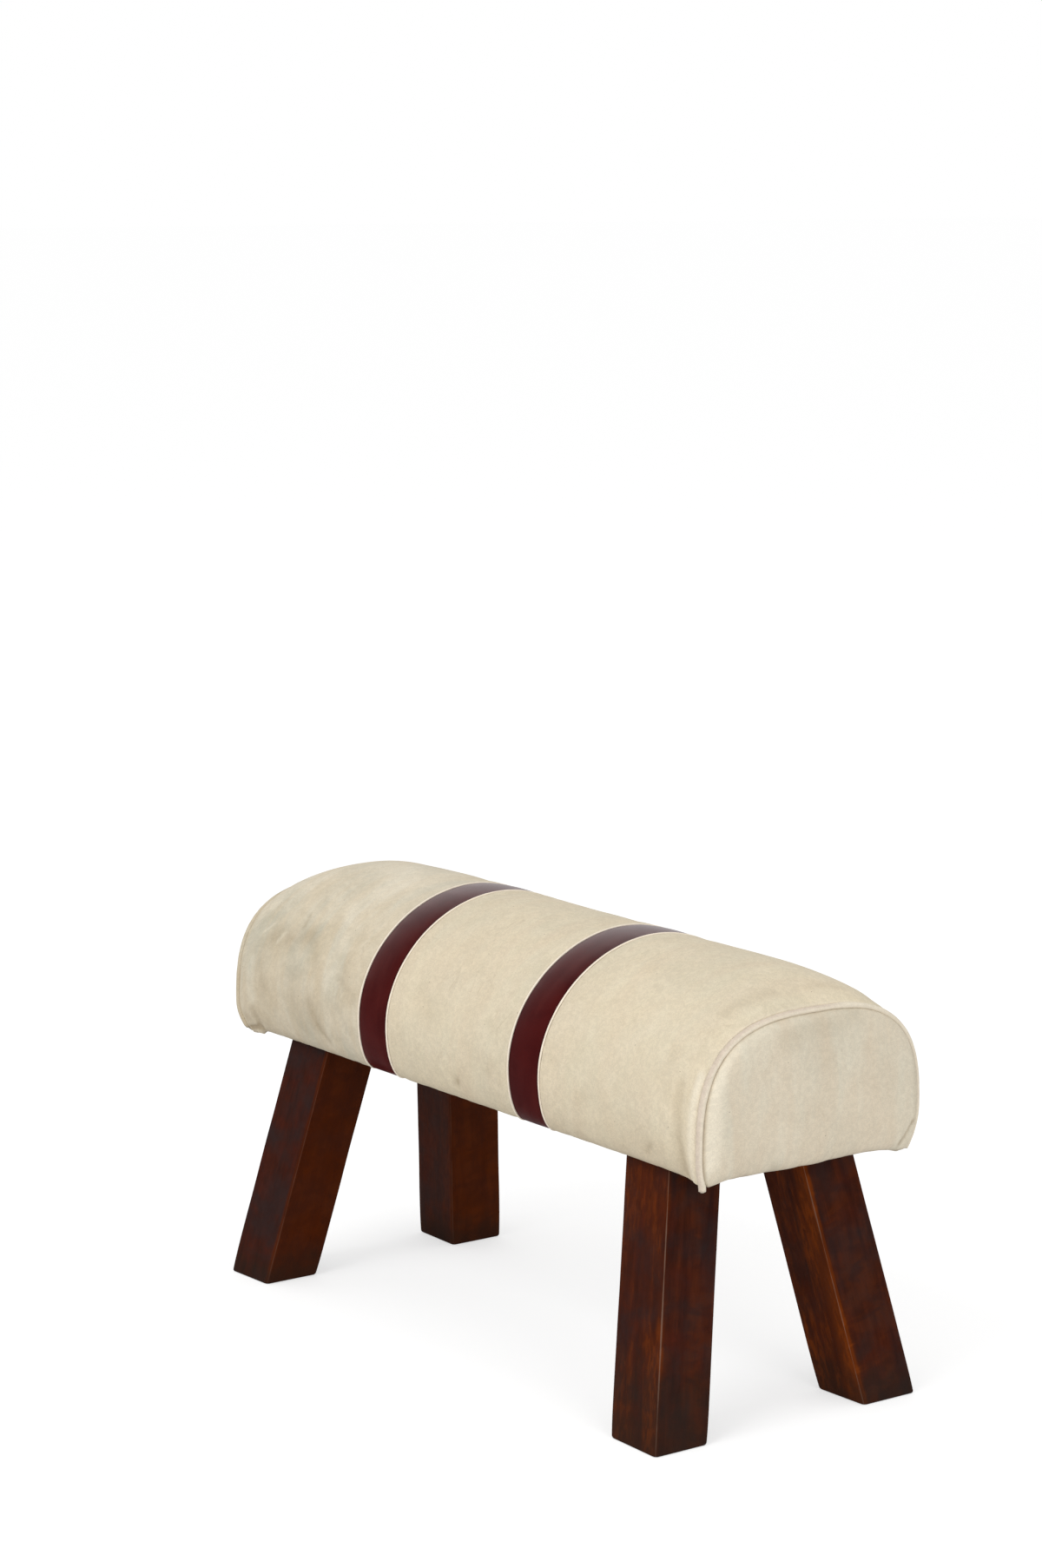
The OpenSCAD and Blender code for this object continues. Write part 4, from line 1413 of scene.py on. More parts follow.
        # Darker along the bottom edge; the strokes add painted shade, painted highlight and stains.
        tone = 0.2 * np.exp(-np.maximum(z - SECTION.under_z, 0) / 0.005)
        marks = {
            "hide": np.stack([y, z - x, np.full_like(x, self.seed * 0.41)], axis=2),
            # Painted shade along the rim.
            "seam": np.concatenate([np.zeros((self.hem_rows, self.columns)), np.exp(-away / 0.0012)]),
            "tone": tone + stroked("tone", self.strokes, outer[..., 1:]),
        }
        mirror = np.array([self.end.value, 1, 1])
        draft = shell(slump(outer * mirror, 1), slump(inner * mirror, 1), marks)
        word, seam_x = self.end.word, SECTION.seam_x
        made = make_piece(f"end_cover_{word}", draft, f"cream_end_{word}",
                          f"end_panel_{word}")
        wide = 2 * SECTION.half_width(seam_x) + SEAM_ALLOWANCE
        high = SECTION.top_z(seam_x) - SECTION.under_z + self.turned_under
        self.used_share * wide * high


@dataclass
class Piping:
    """Thin leather piping in the seam beside a band."""

    word: str
    x: float
    radius: float = 0.0012
    sunk: float = 0.0004
    tuck: float = 0.009
    wander: float = 0.00018

    def build(self) -> None:
        """Make the piping."""
        seed = 31 + len(self.word)
        edge = SECTION.edge_y(self.x)
        tucked = np.linspace(edge - self.tuck, edge, 8)
        under = np.stack([-tucked, np.full(8, SECTION.under_z + self.sunk)], axis=1)
        rise = np.concatenate([under[:-1], SECTION.side(self.x, 40, self.sunk)[:-1]])
        flat = evenly(flanked(rise, SECTION.over(self.x, 181, self.sunk)), 260)
        along = lengths_along(flat[None])[0][:, None]
        path = at(self.x + self.wander * swirl(along / 0.035, seed), flat)
        turn = circle(12)
        thick = self.radius * (1 + 0.05 * swirl(along / 0.012, seed + 3))
        outline = np.stack([np.cos(turn), np.sin(turn)], axis=1) * thick[:, None, None]
        make_piece(f"strip_{self.word}", tube(path, outline, seed), "piping_leather",
                   f"piping_{self.word}")


@dataclass
class Welt:
    """The rolled leather welt round one end of the seat, whose cut tails hang below the corners."""

    end: End
    radius: float = 0.0040
    sunk: float = 0.0005
    tails: tuple[float, float] = (0.2758, 0.2800)
    finish: str = "welt_leather"
    flattened: float = 0.84
    cord_radius: float = 0.0018
    cord_twist: float = 0.011

    def path(self) -> Array:
        """Its centre line, from the front's tail over the top to the back's.

        Returns:
            The line's points.
        """
        x = SECTION.seam_x
        side = SECTION.side(x, 30, self.sunk, start_deg=UNDER_LEATHER_DEG)[:-1]
        drop = np.full(7, side[0, 0])
        tails = [np.stack([drop, np.linspace(low, side[0, 1], 8)[:-1]], axis=1) for low in self.tails]
        front, back = (np.concatenate([tail, side]) for tail in tails)
        line = evenly(np.concatenate([front, SECTION.over(x, 181, self.sunk), back[::-1] * [-1, 1]]), 300)
        for _ in range(3):
            line[1:-1] = (line[:-2] + 2 * line[1:-1] + line[2:]) / 4
        return slump(at(self.end.value * x, line), 0)

    def build(self) -> None:
        """Make the rolled leather and the twisted cord inside it."""
        path, turn = self.path(), circle(20)
        word, seed = self.end.word, 90 + self.end.value
        along = lengths_along(path[None])[0][:, None]
        thick = self.radius * (1 + 0.035 * swirl(along / 0.02, seed))[:, None]
        round_it = np.stack(np.broadcast_arrays(along, 0.003 * turn), axis=2)
        ripple = 1 + 0.03 * swirl_over(round_it, (0.006, 0.006), seed + 4)
        outline = np.stack([np.cos(turn), self.flattened * np.sin(turn)], axis=1)
        outline = outline * (thick * ripple)[..., None]
        draft = tube(path, outline, seed)
        # Painted highlight on both flanks of the right welt and over its back half; the left welt is a little
        # darker throughout.
        flank = np.append(np.tile(np.abs(np.cos(turn)) ** 3, len(path)), [0, 0])
        bright = 0.5 * (1 + self.end.value)
        clean = np.maximum(0.85 * flank, 0.9 * ease(draft.points[:, 1] / 0.05))
        draft.marks["tone"] = 0.35 * (1 - bright) - bright * clean
        make_piece(f"rolled_welt_{word}", draft, self.finish, f"welt_{word}")
        ends = path[[0, -1]] + (path[[0, -1]] - path[[3, -4]]) * 0.2
        longer = evenly(np.concatenate([ends[:1], path, ends[1:]]), 700)
        run = lengths_along(longer[None])[0][:, None]
        lobes = self.cord_radius * (1 + 0.12 * np.cos(3 * (turn + 2 * math.pi * run / self.cord_twist)))
        strand = np.stack([np.cos(turn), np.sin(turn)], axis=1) * lobes[..., None]
        make_piece(f"twisted_cord_{word}", tube(longer, strand, seed), "paper_cord",
                   f"welt_cord_{word}")


@dataclass
class Leg:
    """One splayed leg of square stock, its edges eased and its foot worn soft."""

    end: End
    side: Side
    seed: int
    # Painted warm tint on the outward faces, along and across the seat, for the light that they catch.
    warm: tuple[float, float]
    foot: tuple[float, float]
    # Strength of the painted orange glints, and of the rubbed edges.
    glint: float
    wider: tuple[float, float] = (0.0, 0.0)
    clean: float = 1.0
    top: tuple[float, float, float] = (0.2958, 0.0830, 0.2788)
    width: float = 0.067
    along_deg: float = 10.7
    across_deg: float = 10.65
    rounding: float = 0.0020
    foot_rounding: float = 0.0042
    edge_reach: float = 0.0016
    foot_high: float = 0.0026
    foot_shrink: float = 0.0018
    worn_high: float = 0.014
    top_share: float = 0.45
    wobble: float = 0.004
    bores: tuple[tuple[float, float], ...] = ((0.2788, 0.1000), (0.3128, 0.0660))
    bore_radius: float = 0.00615
    bore_depth: float = 0.0203
    arc: int = 8
    flats: int = 14
    low_levels: tuple[float, ...] = (0.0, 0.0004, 0.0010, 0.0018, 0.0028, 0.0045, 0.0075)
    rows: int = 76

    def lean(self) -> Array:
        """Rotation from the stock's own axes to the frame's, for the corner at +X +Y.

        Returns:
            A 3 by 3 matrix.
        """
        turn_y = -math.radians(self.along_deg)
        turn_x = math.atan(math.tan(math.radians(self.across_deg)) * math.cos(turn_y))
        return np.array(Matrix.Rotation(turn_y, 3, "Y") @ Matrix.Rotation(turn_x, 3, "X"))

    def outline(self, rounding: float, shrink: float) -> tuple[Array, Array]:
        """Section of the stock, and how near each point is to an edge.

        Args:
            rounding: Radius of the corners.
            shrink: How far the whole outline lies inside the stock's faces.

        Returns:
            Points as (place, x y), and a value of 1 on a corner that falls to 0 on the flats.
        """
        half = self.width / 2 - shrink
        straight = half - rounding
        shares = np.linspace(-1, 1, self.flats + 1)[:-1]
        shares = np.sign(shares) * (1 - (1 - np.abs(shares)) ** 1.6)
        angles = np.linspace(0, math.pi / 2, self.arc, endpoint=False)
        flat = np.stack([np.full(self.flats, half), straight * shares], axis=1)
        arc = np.stack([straight + rounding * np.cos(angles), straight + rounding * np.sin(angles)], axis=1)
        away = straight * (1 - np.abs(shares)) + rounding * math.pi / 4
        turned = np.abs(angles - math.pi / 4) * rounding
        quarter, near = np.concatenate([flat, arc]), np.exp(-np.concatenate([away, turned]) / self.edge_reach)
        points = []
        for turn in math.pi / 2 * np.arange(4):
            points.append(quarter @ [[math.cos(turn), math.sin(turn)], [-math.sin(turn), math.cos(turn)]])
        return np.concatenate(points), np.tile(near, 4)

    def ring(self, z: float) -> tuple[Array, dict[str, Array]]:
        """One level of the leg, for the corner at +X +Y.

        Args:
            z: Its height.

        Returns:
            Its points, and what is painted on them.
        """
        turn, origin = self.lean(), np.array(self.top)
        foot = max(1 - z / self.foot_high, 0.0)
        soft = self.rounding + (self.foot_rounding - self.rounding) * math.exp(-z / self.worn_high)
        flat, near = self.outline(soft, self.foot_shrink * (1 - math.sqrt(1 - foot * foot)))
        down = 1 - z / origin[2]
        flat = flat * (1 + np.array(self.wider) / self.width * (self.top_share + (1 - self.top_share) * down))
        uneven = swirl(np.insert(flat / 0.03, 2, z / 0.05, axis=1), self.seed)[:, None]
        flat = flat * (1 + self.wobble * uneven)
        stock = np.insert(flat, 2, (z - origin[2] - flat @ turn[2, :2]) / turn[2, 2], axis=1)
        points = origin + stock @ turn.T + [self.foot[0] * down, self.foot[1] * down, 0.0]
        same = np.ones(len(flat))
        return points, {"stock": stock + self.seed * 0.61, "edge": near, "height": same * (z * self.clean),
                        "warm": self.warmth(flat), "glint": same * self.glint}

    def warmth(self, flat: Array) -> Array:
        """How strongly a painted warm tint, for the light that each face catches, shows on the stain.

        Args:
            flat: Points of the section.

        Returns:
            A value from 0 to 1 for each.
        """
        to_right = flat[:, 0] * 2 * self.end.value / self.width
        to_front = -flat[:, 1] * 2 * self.side.value / self.width
        right, front = self.warm
        facing_front = ease((to_front - 0.8) * 6) * (0.7 + 0.5 * ease(to_right))
        return np.clip(right * ease((to_right - 0.8) * 6) + front * facing_front, 0, 1)

    def build(self) -> None:
        """Make the leg."""
        levels = np.concatenate([self.low_levels, np.linspace(0.012, self.top[2], self.rows)])
        rings, marks = zip(*(self.ring(z) for z in levels))
        grid = np.stack(rings)
        grid[0, :, 2] = 0.0
        index = numbers(grid)
        faces = grid_quads(index, closed=True) + [tuple(index[0, ::-1].tolist()), tuple(index[-1].tolist())]
        painted = {key: np.concatenate([level[key] for level in marks]) for key in marks[0]}
        points = grid.reshape(-1, 3) * [self.end.value, self.side.value, 1]
        word = f"{self.side.word}_{self.end.word}"
        draft = Draft(points, faces, painted)
        self.bore(make_piece(f"splayed_leg_{word}", draft, "stained_timber", f"leg_{word}"))

    def bore(self, leg: bpy.types.Object) -> None:
        """Cut the blind holes in the leg's top that its threaded inserts sit in.

        Args:
            leg: The leg's object, whose mesh is exchanged.
        """
        high = self.bore_depth + self.bore_radius
        middle_z = self.top[2] - self.bore_depth + high / 2
        drill = bmesh.new()
        for x, y in self.bores:
            place = Matrix.Translation((self.end.value * x, self.side.value * y, middle_z))
            bmesh.ops.create_cone(drill, cap_ends=True, segments=40, radius1=self.bore_radius,
                                  radius2=self.bore_radius, depth=high, matrix=place)
        mesh = bpy.data.meshes.new("bore")
        drill.to_mesh(mesh)
        drill.free()
        cutter = bpy.data.objects.new("bore", mesh)
        bpy.context.scene.collection.objects.link(cutter)
        cut = leg.modifiers.new("bore", "BOOLEAN")
        cut.operation, cut.solver, cut.object = "DIFFERENCE", "EXACT", cutter
        bored = bpy.data.meshes.new_from_object(leg.evaluated_get(bpy.context.evaluated_depsgraph_get()))
        leg.modifiers.clear()
        plain, leg.data = leg.data, bored
        bpy.data.objects.remove(cutter)
        for used in (plain, mesh):
            bpy.data.meshes.remove(used)


@dataclass
class DustCover:
    """Black felted cloth stapled under the seat, cut out round the legs."""

    half_l: float = 0.397
    half_w: float = 0.118
    top_z: float = 0.2754
    thickness: float = 0.0006
    leg_x: float = 0.2955
    leg_half: float = 0.0362
    leg_in_y: float = 0.0475
    step: float = 0.0065
    sag: float = 0.0026
    margin: float = 0.012
    crinkle: float = 0.0005
    fine_crinkle: float = 0.0003

    def lines(self, half: float, stops: Sequence[float]) -> Array:
        """Evenly spaced places from -half to half that include the stops.

        Args:
            half: Half of the whole length.
            stops: Places that are to be among them.

        Returns:
            The places in order.
        """
        marks = sorted({-half, half, *stops})
        spans = [(a, b, max(int((b - a) / self.step), 1)) for a, b in zip(marks, marks[1:])]
        return np.concatenate([*(np.linspace(a, b, count + 1)[:-1] for a, b, count in spans), [half]])

    def build(self) -> None:
        xs = self.lines(self.half_l, [s * (self.leg_x + t * self.leg_half) for s in (-1, 1) for t in (-1, 1)])
        ys = self.lines(self.half_w, [-self.leg_in_y, self.leg_in_y])
        paper = np.stack(np.meshgrid(xs, ys, indexing="ij"), axis=2)
        x, y = np.moveaxis(np.abs(paper), -1, 0)
        inner_w = self.half_w - self.margin
        free = np.clip(1 - (x / self.half_l) ** 8, 0, 1) * np.clip(1 - (y / inner_w) ** 2, 0, 1)
        crinkles = self.crinkle * swirl_over(paper, (0.05, 0.05), 5)
        crinkles += self.fine_crinkle * swirl_over(paper, (0.016, 0.07), 6)
        z = self.top_z - self.sag * free + crinkles * ease(free * 1.5)
        top = np.concatenate([paper, z[..., None]], axis=2)
        across, along = (np.abs(places[:-1] + places[1:]) / 2 for places in (xs, ys))
        by_leg = (np.abs(across[:, None] - self.leg_x) < self.leg_half) & (along[None] > self.leg_in_y)
        points = np.concatenate([top.reshape(-1, 3), (top - [0, 0, self.thickness]).reshape(-1, 3)])
        draft = self.cut(points, numbers(top), ~by_leg)
        made = make_piece("felted_dust_cover", draft, "dust_felt", "dust_cover")

    def cut(self, points: Array, index: Array, kept: Array) -> Draft:
        """A closed sheet from the kept quads of a grid.

        Args:
            points: Points of the grid's upper face, then those of its lower one.
            index: Point numbers of the upper face.
            kept: Which of its quads stay.

        Returns:
            The mesh, without points that no face uses.
        """
        faces: Faces = []
        edges: dict[tuple[int, int], None] = {}
        for i, j in np.argwhere(kept).tolist():
            quad = tuple(index[[i, i + 1, i + 1, i], [j, j, j + 1, j + 1]].tolist())
            faces += [quad, tuple(k + index.size for k in quad[::-1])]
            edges.update(dict.fromkeys(zip(quad, quad[1:] + quad[:1])))
        faces += [(b, a, a + index.size, b + index.size) for a, b in edges if (b, a) not in edges]
        used = np.unique([k for face in faces for k in face])
        return Draft(points[used], [tuple(np.searchsorted(used, face)) for face in faces], {})


@dataclass
class Padding:
    """What is under the leather: the foam over the deck, its wadding, and a foam cushion at each end."""

    frame_end: float = 0.392
    foam_out: float = 0.0061
    wadding_end: float = 0.4010
    wadding_out: float = 0.0029
    wadding_in: float = 0.0057
    gap: float = 0.0003
    deck_half: float = 0.1259
    deck_rise: float = 0.1019
    shoulder_share: float = 0.784
    spring_z: float = 0.310
    fluff: float = 0.0003
    cushion_inset: float = 0.0068
    cushion_sunk: float = 0.0006
    cushion_dome: float = 0.0060
    top: int = 61
    side: int = 10
    foam_rows: int = 90
    wadding_rows: int = 96

    def deck_arch(self, count: int) -> Array:
        """The deck's outer face, from the front's foot to the back's.

        Args:
            count: How many points, an odd number.

        Returns:
            Points as (count, y z).
        """
        a, b = self.deck_half, self.deck_rise
        small = self.shoulder_share * b
        large = (a * a + b * b - 2 * a * small) / (2 * (b - small))
        turn = math.atan2(large - b, a - small)
        angles = np.radians(np.linspace(0, 90, 91))
        low = angles < turn
        y = np.where(low, a - small + small * np.cos(angles), large * np.cos(angles))
        z = np.where(low, small * np.sin(angles), b - large + large * np.sin(angles))
        return mirrored(np.stack([-y, self.spring_z + z], axis=1), count)

    def blanket(self, xs: Array, depth: float) -> Array:
        """A grid of points over the seat at a depth below the cover's face."""
        return np.stack([at(x, flanked(SECTION.side(x, self.side, depth, UNDER_LEATHER_DEG)[:-1],
                                       SECTION.over(x, self.top, depth))) for x in xs])

    def build(self) -> None:
        """Make the foam pad, the wadding and the end cushions."""
        self.foam()
        self.wadding()
        for end in End:
            self.end_cushion(end)

    def foam(self) -> None:
        """Make the foam between the deck and the wadding."""
        xs = np.linspace(-self.frame_end, self.frame_end, self.foam_rows)
        outer = slump(self.blanket(xs, self.foam_out), 0)
        heights = np.linspace(outer[0, 0, 2], self.spring_z, self.side)[:-1]
        wall = np.stack([np.full(self.side - 1, -self.deck_half - self.gap), heights], axis=1)
        arch = self.deck_arch(self.top) * [1 + self.gap / self.deck_half, 1] + [0, self.gap]
        inner = np.stack([at(x, flanked(wall, arch)) for x in xs])
        inner[:, [0, -1], 2] = outer[:, [0, -1], 2]
        made = make_piece("foam_layer", shell(outer, inner, {}), "cut_foam", "foam_pad")

    def wadding(self) -> None:
        xs = np.linspace(-self.wadding_end, self.wadding_end, self.wadding_rows)
        fluffy = self.blanket(xs, self.wadding_out)
        sunk = self.fluff + self.fluff * swirl_over(fluffy, (0.02, 0.02, 0.02), 12)
        fluffy -= facing(fluffy) * sunk[..., None]
        draft = shell(slump(fluffy, 0), slump(self.blanket(xs, self.wadding_in), 0), {})
        made = make_piece("wadding_layer", draft, "fluffy_wadding", "wadding")
        girth = float(lengths_along(fluffy)[self.wadding_rows // 2, -1] * 2)

    def end_cushion(self, end: End) -> None:
        """Make the foam behind one end panel, flat against the end former and domed outside.

        Args:
            end: Which end.
        """
        shape = EndPanel(end, inset=self.cushion_inset, rows=30, columns=40)
        flat = shape.face()
        spread = np.abs(flat[..., 0]) / SECTION.half_width(SECTION.seam_x)
        tall = np.abs(flat[..., 1] - shape.middle_z) / (shape.middle_z - SECTION.under_z)
        dome = np.clip(1 - spread**4, 0, 1) * np.clip(1 - tall**4, 0, 1)
        domed = END_RIMS[end] - self.cushion_sunk + self.cushion_dome * dome
        flush = np.full_like(dome, self.frame_end + self.gap)
        front, back = (
            np.concatenate([x[..., None], flat], axis=2) * [end.value, 1, 1] for x in (domed, flush)
        )
        draft = shell(slump(front, 1), back, {})
        made = make_piece(f"end_cushion_{end.word}", draft, "cut_foam", f"end_foam_{end.word}")


# The studio


@dataclass
class Studio:
    """Floor, light and camera."""

    eye: tuple[float, float, float] = (3.2399, -2.5467, 1.3172)
    yaw_deg: float = 52.44
    pitch_deg: float = 9.886
    roll_deg: float = 0.788
    focal_px: float = 4551.7
    photo_high_px: float = 1805.0
    sensor_mm: float = 36.0
    sky: float = 0.70
    floor_z: float = -0.0003
    floor_half: float = 30.0
    floor_seen: tuple[float, ...] = (0.6, 0.6, 0.6, 1)
    floor_lit: tuple[float, ...] = (0.8, 0.8, 0.8, 1)
    floor_glow: float = 0.575
    aim_z: float = 0.3

    def build(self) -> None:
        """Set up everything that isn't the object."""
        bpy.context.scene.view_settings.view_transform = "Standard"
        self.set_sky()
        self.lay_floor()
        self.add_lamp("key_lamp", (0.6, -3.4, 3.3), 2.2, 64.0)
        self.add_lamp("fill_lamp", (3.7, -0.6, 1.7), 2.0, 28.0)
        self.place_camera()

    def set_sky(self) -> None:
        """Even pale light all round, and plain white where the camera or a shiny surface sees it."""
        world = bpy.data.worlds.new("studio")
        world.use_nodes = True
        bpy.context.scene.world = world
        r = Recipe(world.node_tree)
        path = r.fill(r.node("LightPath"))
        seen = path["Is Camera Ray"].step("MAXIMUM", path["Is Glossy Ray"])
        level = r.make("MapRange", seen.step("MAXIMUM", path["Is Transmission Ray"]), 0.0, 1.0, self.sky, 1.0)
        sky = r.fill(r.node("Background"), Color=paint(255, 255, 255), Strength=level)
        r.fill(r.node("OutputWorld"), Surface=sky["Background"])

    def lay_floor(self) -> None:
        """A pale floor that keeps the shadow and can be looked through from below."""
        mesh = bpy.data.meshes.new("studio_floor")
        shaper = bmesh.new()
        bmesh.ops.create_grid(shaper, x_segments=8, y_segments=8, size=self.floor_half)
        shaper.to_mesh(mesh)
        shaper.free()
        floor = bpy.data.objects.new("studio_floor", mesh)
        floor.location.z = self.floor_z
        bpy.context.scene.collection.objects.link(floor)
        material = bpy.data.materials.new("pale_floor")
        material.use_nodes = True
        r = Recipe(material.node_tree)
        path = r.fill(r.node("LightPath"))
        glow = r.make("Emission", paint(255, 255, 255), self.floor_glow)
        seen = r.make("AddShader", r.make("BsdfDiffuse", self.floor_seen), glow)
        lit = r.make("BsdfDiffuse", self.floor_lit)
        top = r.make("MixShader", path["Is Camera Ray"].step("MAXIMUM", path["Is Glossy Ray"]), lit, seen)
        from_below = r.fill(r.node("NewGeometry"))["Backfacing"]
        both = r.make("MixShader", from_below, top, r.make("BsdfTransparent"))
        r.fill(r.node("OutputMaterial"), Surface=both)
        mesh.materials.append(material)

    def add_lamp(self, name: str, place: tuple[float, float, float], size: float, power: float) -> None:
        """Hang a large soft lamp that points at the seat.

        Args:
            name: Its name.
            place: Where it hangs.
            size: Side of its square face.
            power: Its power in watts.
        """
        data = bpy.data.lights.new(name, "AREA")
        data.size = size
        data.energy = power
        lamp = bpy.data.objects.new(name, data)
        lamp.location = place
        aim = Vector((0, 0, self.aim_z)) - Vector(place)
        lamp.rotation_euler = aim.to_track_quat("-Z", "Y").to_euler()
        bpy.context.scene.collection.objects.link(lamp)

    def place_camera(self) -> None:
        """Set the camera where the photograph was taken from."""
        yaw, pitch, roll = (math.radians(d) for d in (self.yaw_deg, self.pitch_deg, self.roll_deg))
        ahead = Vector((-math.sin(yaw) * math.cos(pitch), math.cos(yaw) * math.cos(pitch), -math.sin(pitch)))
        right = ahead.cross(Vector((0, 0, 1))).normalized()
        up = right.cross(ahead)
        level = right * math.cos(roll) + up * math.sin(roll)
        upright = up * math.cos(roll) - right * math.sin(roll)
        data = bpy.data.cameras.new("photo_camera")
        data.sensor_width = self.sensor_mm
        data.lens = self.focal_px / self.photo_high_px * data.sensor_width
        data.clip_start, data.clip_end = 0.05, 200.0
        camera = bpy.data.objects.new("photo_camera", data)
        turn = Matrix((level, upright, -ahead)).transposed().to_4x4()
        camera.matrix_world = Matrix.Translation(self.eye) @ turn
        bpy.context.scene.collection.objects.link(camera)
        bpy.context.scene.camera = camera


# What is built


@dataclass(frozen=True)
class CarriedOver:
    """CAD nodes whose shape stays, and the finish that they get."""

    finish: str
    nodes: tuple[str, ...]

    def dress(self) -> None:
        """Put the finish on every slot of the nodes."""
        material = bpy.data.materials[self.finish]
        for name in self.nodes:
            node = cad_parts[name]
            if not node.material_slots:
                node.data.materials.append(material)
            for slot in node.material_slots:
                slot.material = material
            LOG.info("%s: carried over in %s", name, self.finish)


FINISHES = (
    Nubuck("cream_left", body=(220, 210, 189), cool=(186, 181, 162), warm=(208, 191, 162), clouds=0.85,
           streaks=0.6, cloud_size=0.07, shift=0.4),
    Nubuck("cream_centre", shift=1.7, clouds=0.45, streaks=0.25),
    Nubuck("cream_right", shift=2.9, clouds=0.45, streaks=0.25),
    Nubuck("cream_end_right", body=(225, 215, 194), cool=(207, 201, 182), shift=4.1, clouds=0.6, streaks=0.4,
           cloud_size=0.13),
    Nubuck("cream_end_left", body=(213, 202, 180), shift=5.6, clouds=0.5, streaks=0.4),
    Nubuck("piping_leather", body=(246, 234, 216), cool=(236, 222, 202), clouds=0.3, streaks=0.1, shift=6.2),
    Nubuck("welt_leather", body=(213, 198, 181), cool=(202, 188, 171), clouds=0.4, streaks=0.1, shift=7.7),
    WaxedHide("oxblood_left", shift=0.2),
    WaxedHide("oxblood_right", shift=1.9),
    StainedTimber("stained_timber"),
    RawTimber("birch_board", (214, 186, 146), (186, 150, 104), plies="Z"),
    RawTimber("birch_rib", (212, 184, 144), (184, 148, 104), grain="Y", plies="X"),
    RawTimber("birch_deck", (216, 190, 150), (190, 154, 108)),
    RawTimber("beech_block", (202, 160, 118), (166, 118, 78)),
    PlatedMetal("zinc_plate", (196, 198, 202), (150, 152, 154)),
    PlatedMetal("turned_brass", (206, 172, 98), (160, 128, 70), smooth=0.22),
    Filling("cut_foam", (238, 228, 190), (206, 192, 148), size=0.0016, depth=0.0006, holes=0.5),
    Filling("fluffy_wadding", (244, 244, 240), (214, 214, 210), size=0.0022, depth=0.0009),
    Filling("paper_cord", (222, 216, 200), (184, 174, 152), size=0.0009, depth=0.0005),
    Filling("dust_felt", (34, 34, 37), (20, 20, 22), size=0.0012, depth=0.0004, holes=0.2),
)


def strokes(*rows: tuple[float, ...]) -> tuple[Stroke, ...]:
    """Strokes from rows of start (two numbers), stop (two numbers), width, tone and lift."""
    return tuple(Stroke(row[:2], row[2:4], *row[4:]) for row in rows)


# On each panel the strokes' tones paint shade into creases, hollows and rims, highlights onto ridges and
# rolled edges, and stains.
LEFT_MARKS = strokes(
    (-0.36, -0.205, -0.2, -0.205, 0.05, 0.27),
    (-0.34, -0.02, -0.2, -0.02, 0.075, -0.5),
    (-0.3013, -0.1408, -0.3053, -0.1244, 0.003, 0.4, -0.0004),
    (-0.3674, -0.1572, -0.3534, -0.1455, 0.0026, -0.6, 0.0004),
    (-0.3333, -0.167, -0.3273, -0.154, 0.0022, -0.65, 0.0004),
    (-0.34, -0.16, -0.285, -0.15, 0.015, 0.38),
    (-0.255, -0.224, -0.243, -0.238, 0.012, 0.3),
    (-0.2392, -0.2457, -0.2232, -0.2616, 0.004, 0.3, -0.0005),
    (-0.2232, -0.1424, -0.2172, -0.2009, 0.009, -0.4, 0.0004),
    (-0.2513, -0.1005, -0.235, -0.12, 0.011, -0.45),
    (-0.205, -0.13, -0.195, -0.175, 0.012, 0.14),
    (-0.2152, -0.1479, -0.1852, -0.1497, 0.0028, -0.35),
    (-0.2132, -0.1844, -0.1712, -0.199, 0.005, 0.16, -0.0002),
    (-0.3554, -0.1843, -0.3433, -0.2222, 0.008, 0.14),
    (-0.375, -0.19, -0.37, -0.235, 0.007, -0.35, 0.0004),
    (-0.2753, -0.148, -0.2512, -0.1827, 0.0078, 0.16, -0.0002),
    (-0.295, -0.195, -0.27, -0.25, 0.011, 0.14, -0.0002),
    (-0.315, -0.09, -0.29, -0.115, 0.011, 0.24),
    (-0.398, -0.259, -0.376, -0.266, 0.002, 0.85, -0.0024),
    (-0.398, -0.266, -0.38, -0.271, 0.0044, -0.4, 0.002),
    (-0.374, -0.264, -0.368, -0.269, 0.003, 0.8, -0.0014),
    (-0.374, -0.244, -0.367, -0.261, 0.0065, 0.34, -0.0009),
    (-0.393, -0.248, -0.385, -0.254, 0.005, 0.2, -0.0004),
)
CENTRE_MARKS = strokes(
    (0.011, -0.261, 0.0125, -0.257, 0.004, 0.35, -0.0013),
    (0.011, -0.26, 0.021, -0.243, 0.0026, 0.15, -0.0006),
    (-0.002, -0.262, -0.01, -0.248, 0.003, -0.2, 0.0005),
    (-0.06, -0.17, -0.03, -0.195, 0.012, 0.2),
    (0.04, -0.21, 0.07, -0.225, 0.011, 0.16),
    (-0.021, -0.011, -0.0205, -0.0108, 0.0011, 0.9),
)
RIGHT_MARKS = strokes(
    (0.3735, -0.175, 0.3815, -0.262, 0.0072, 0.34, -0.002),
    (0.396, -0.155, 0.3955, -0.268, 0.0064, -0.8, 0.0024),
    (0.377, -0.03, 0.374, -0.09, 0.01, 0.3, -0.0005),
    (0.382, 0.01, 0.38, 0.05, 0.009, 0.22),
    (0.35, -0.15, 0.36, -0.19, 0.01, 0.2),
    (0.28, -0.17, 0.3, -0.14, 0.015, -0.25),
    (0.225, -0.23, 0.25, -0.21, 0.012, 0.16),
    (0.335, -0.25, 0.325, -0.262, 0.004, 0.3, -0.0009),
    (0.24, -0.06, 0.29, -0.07, 0.016, 0.14),
)
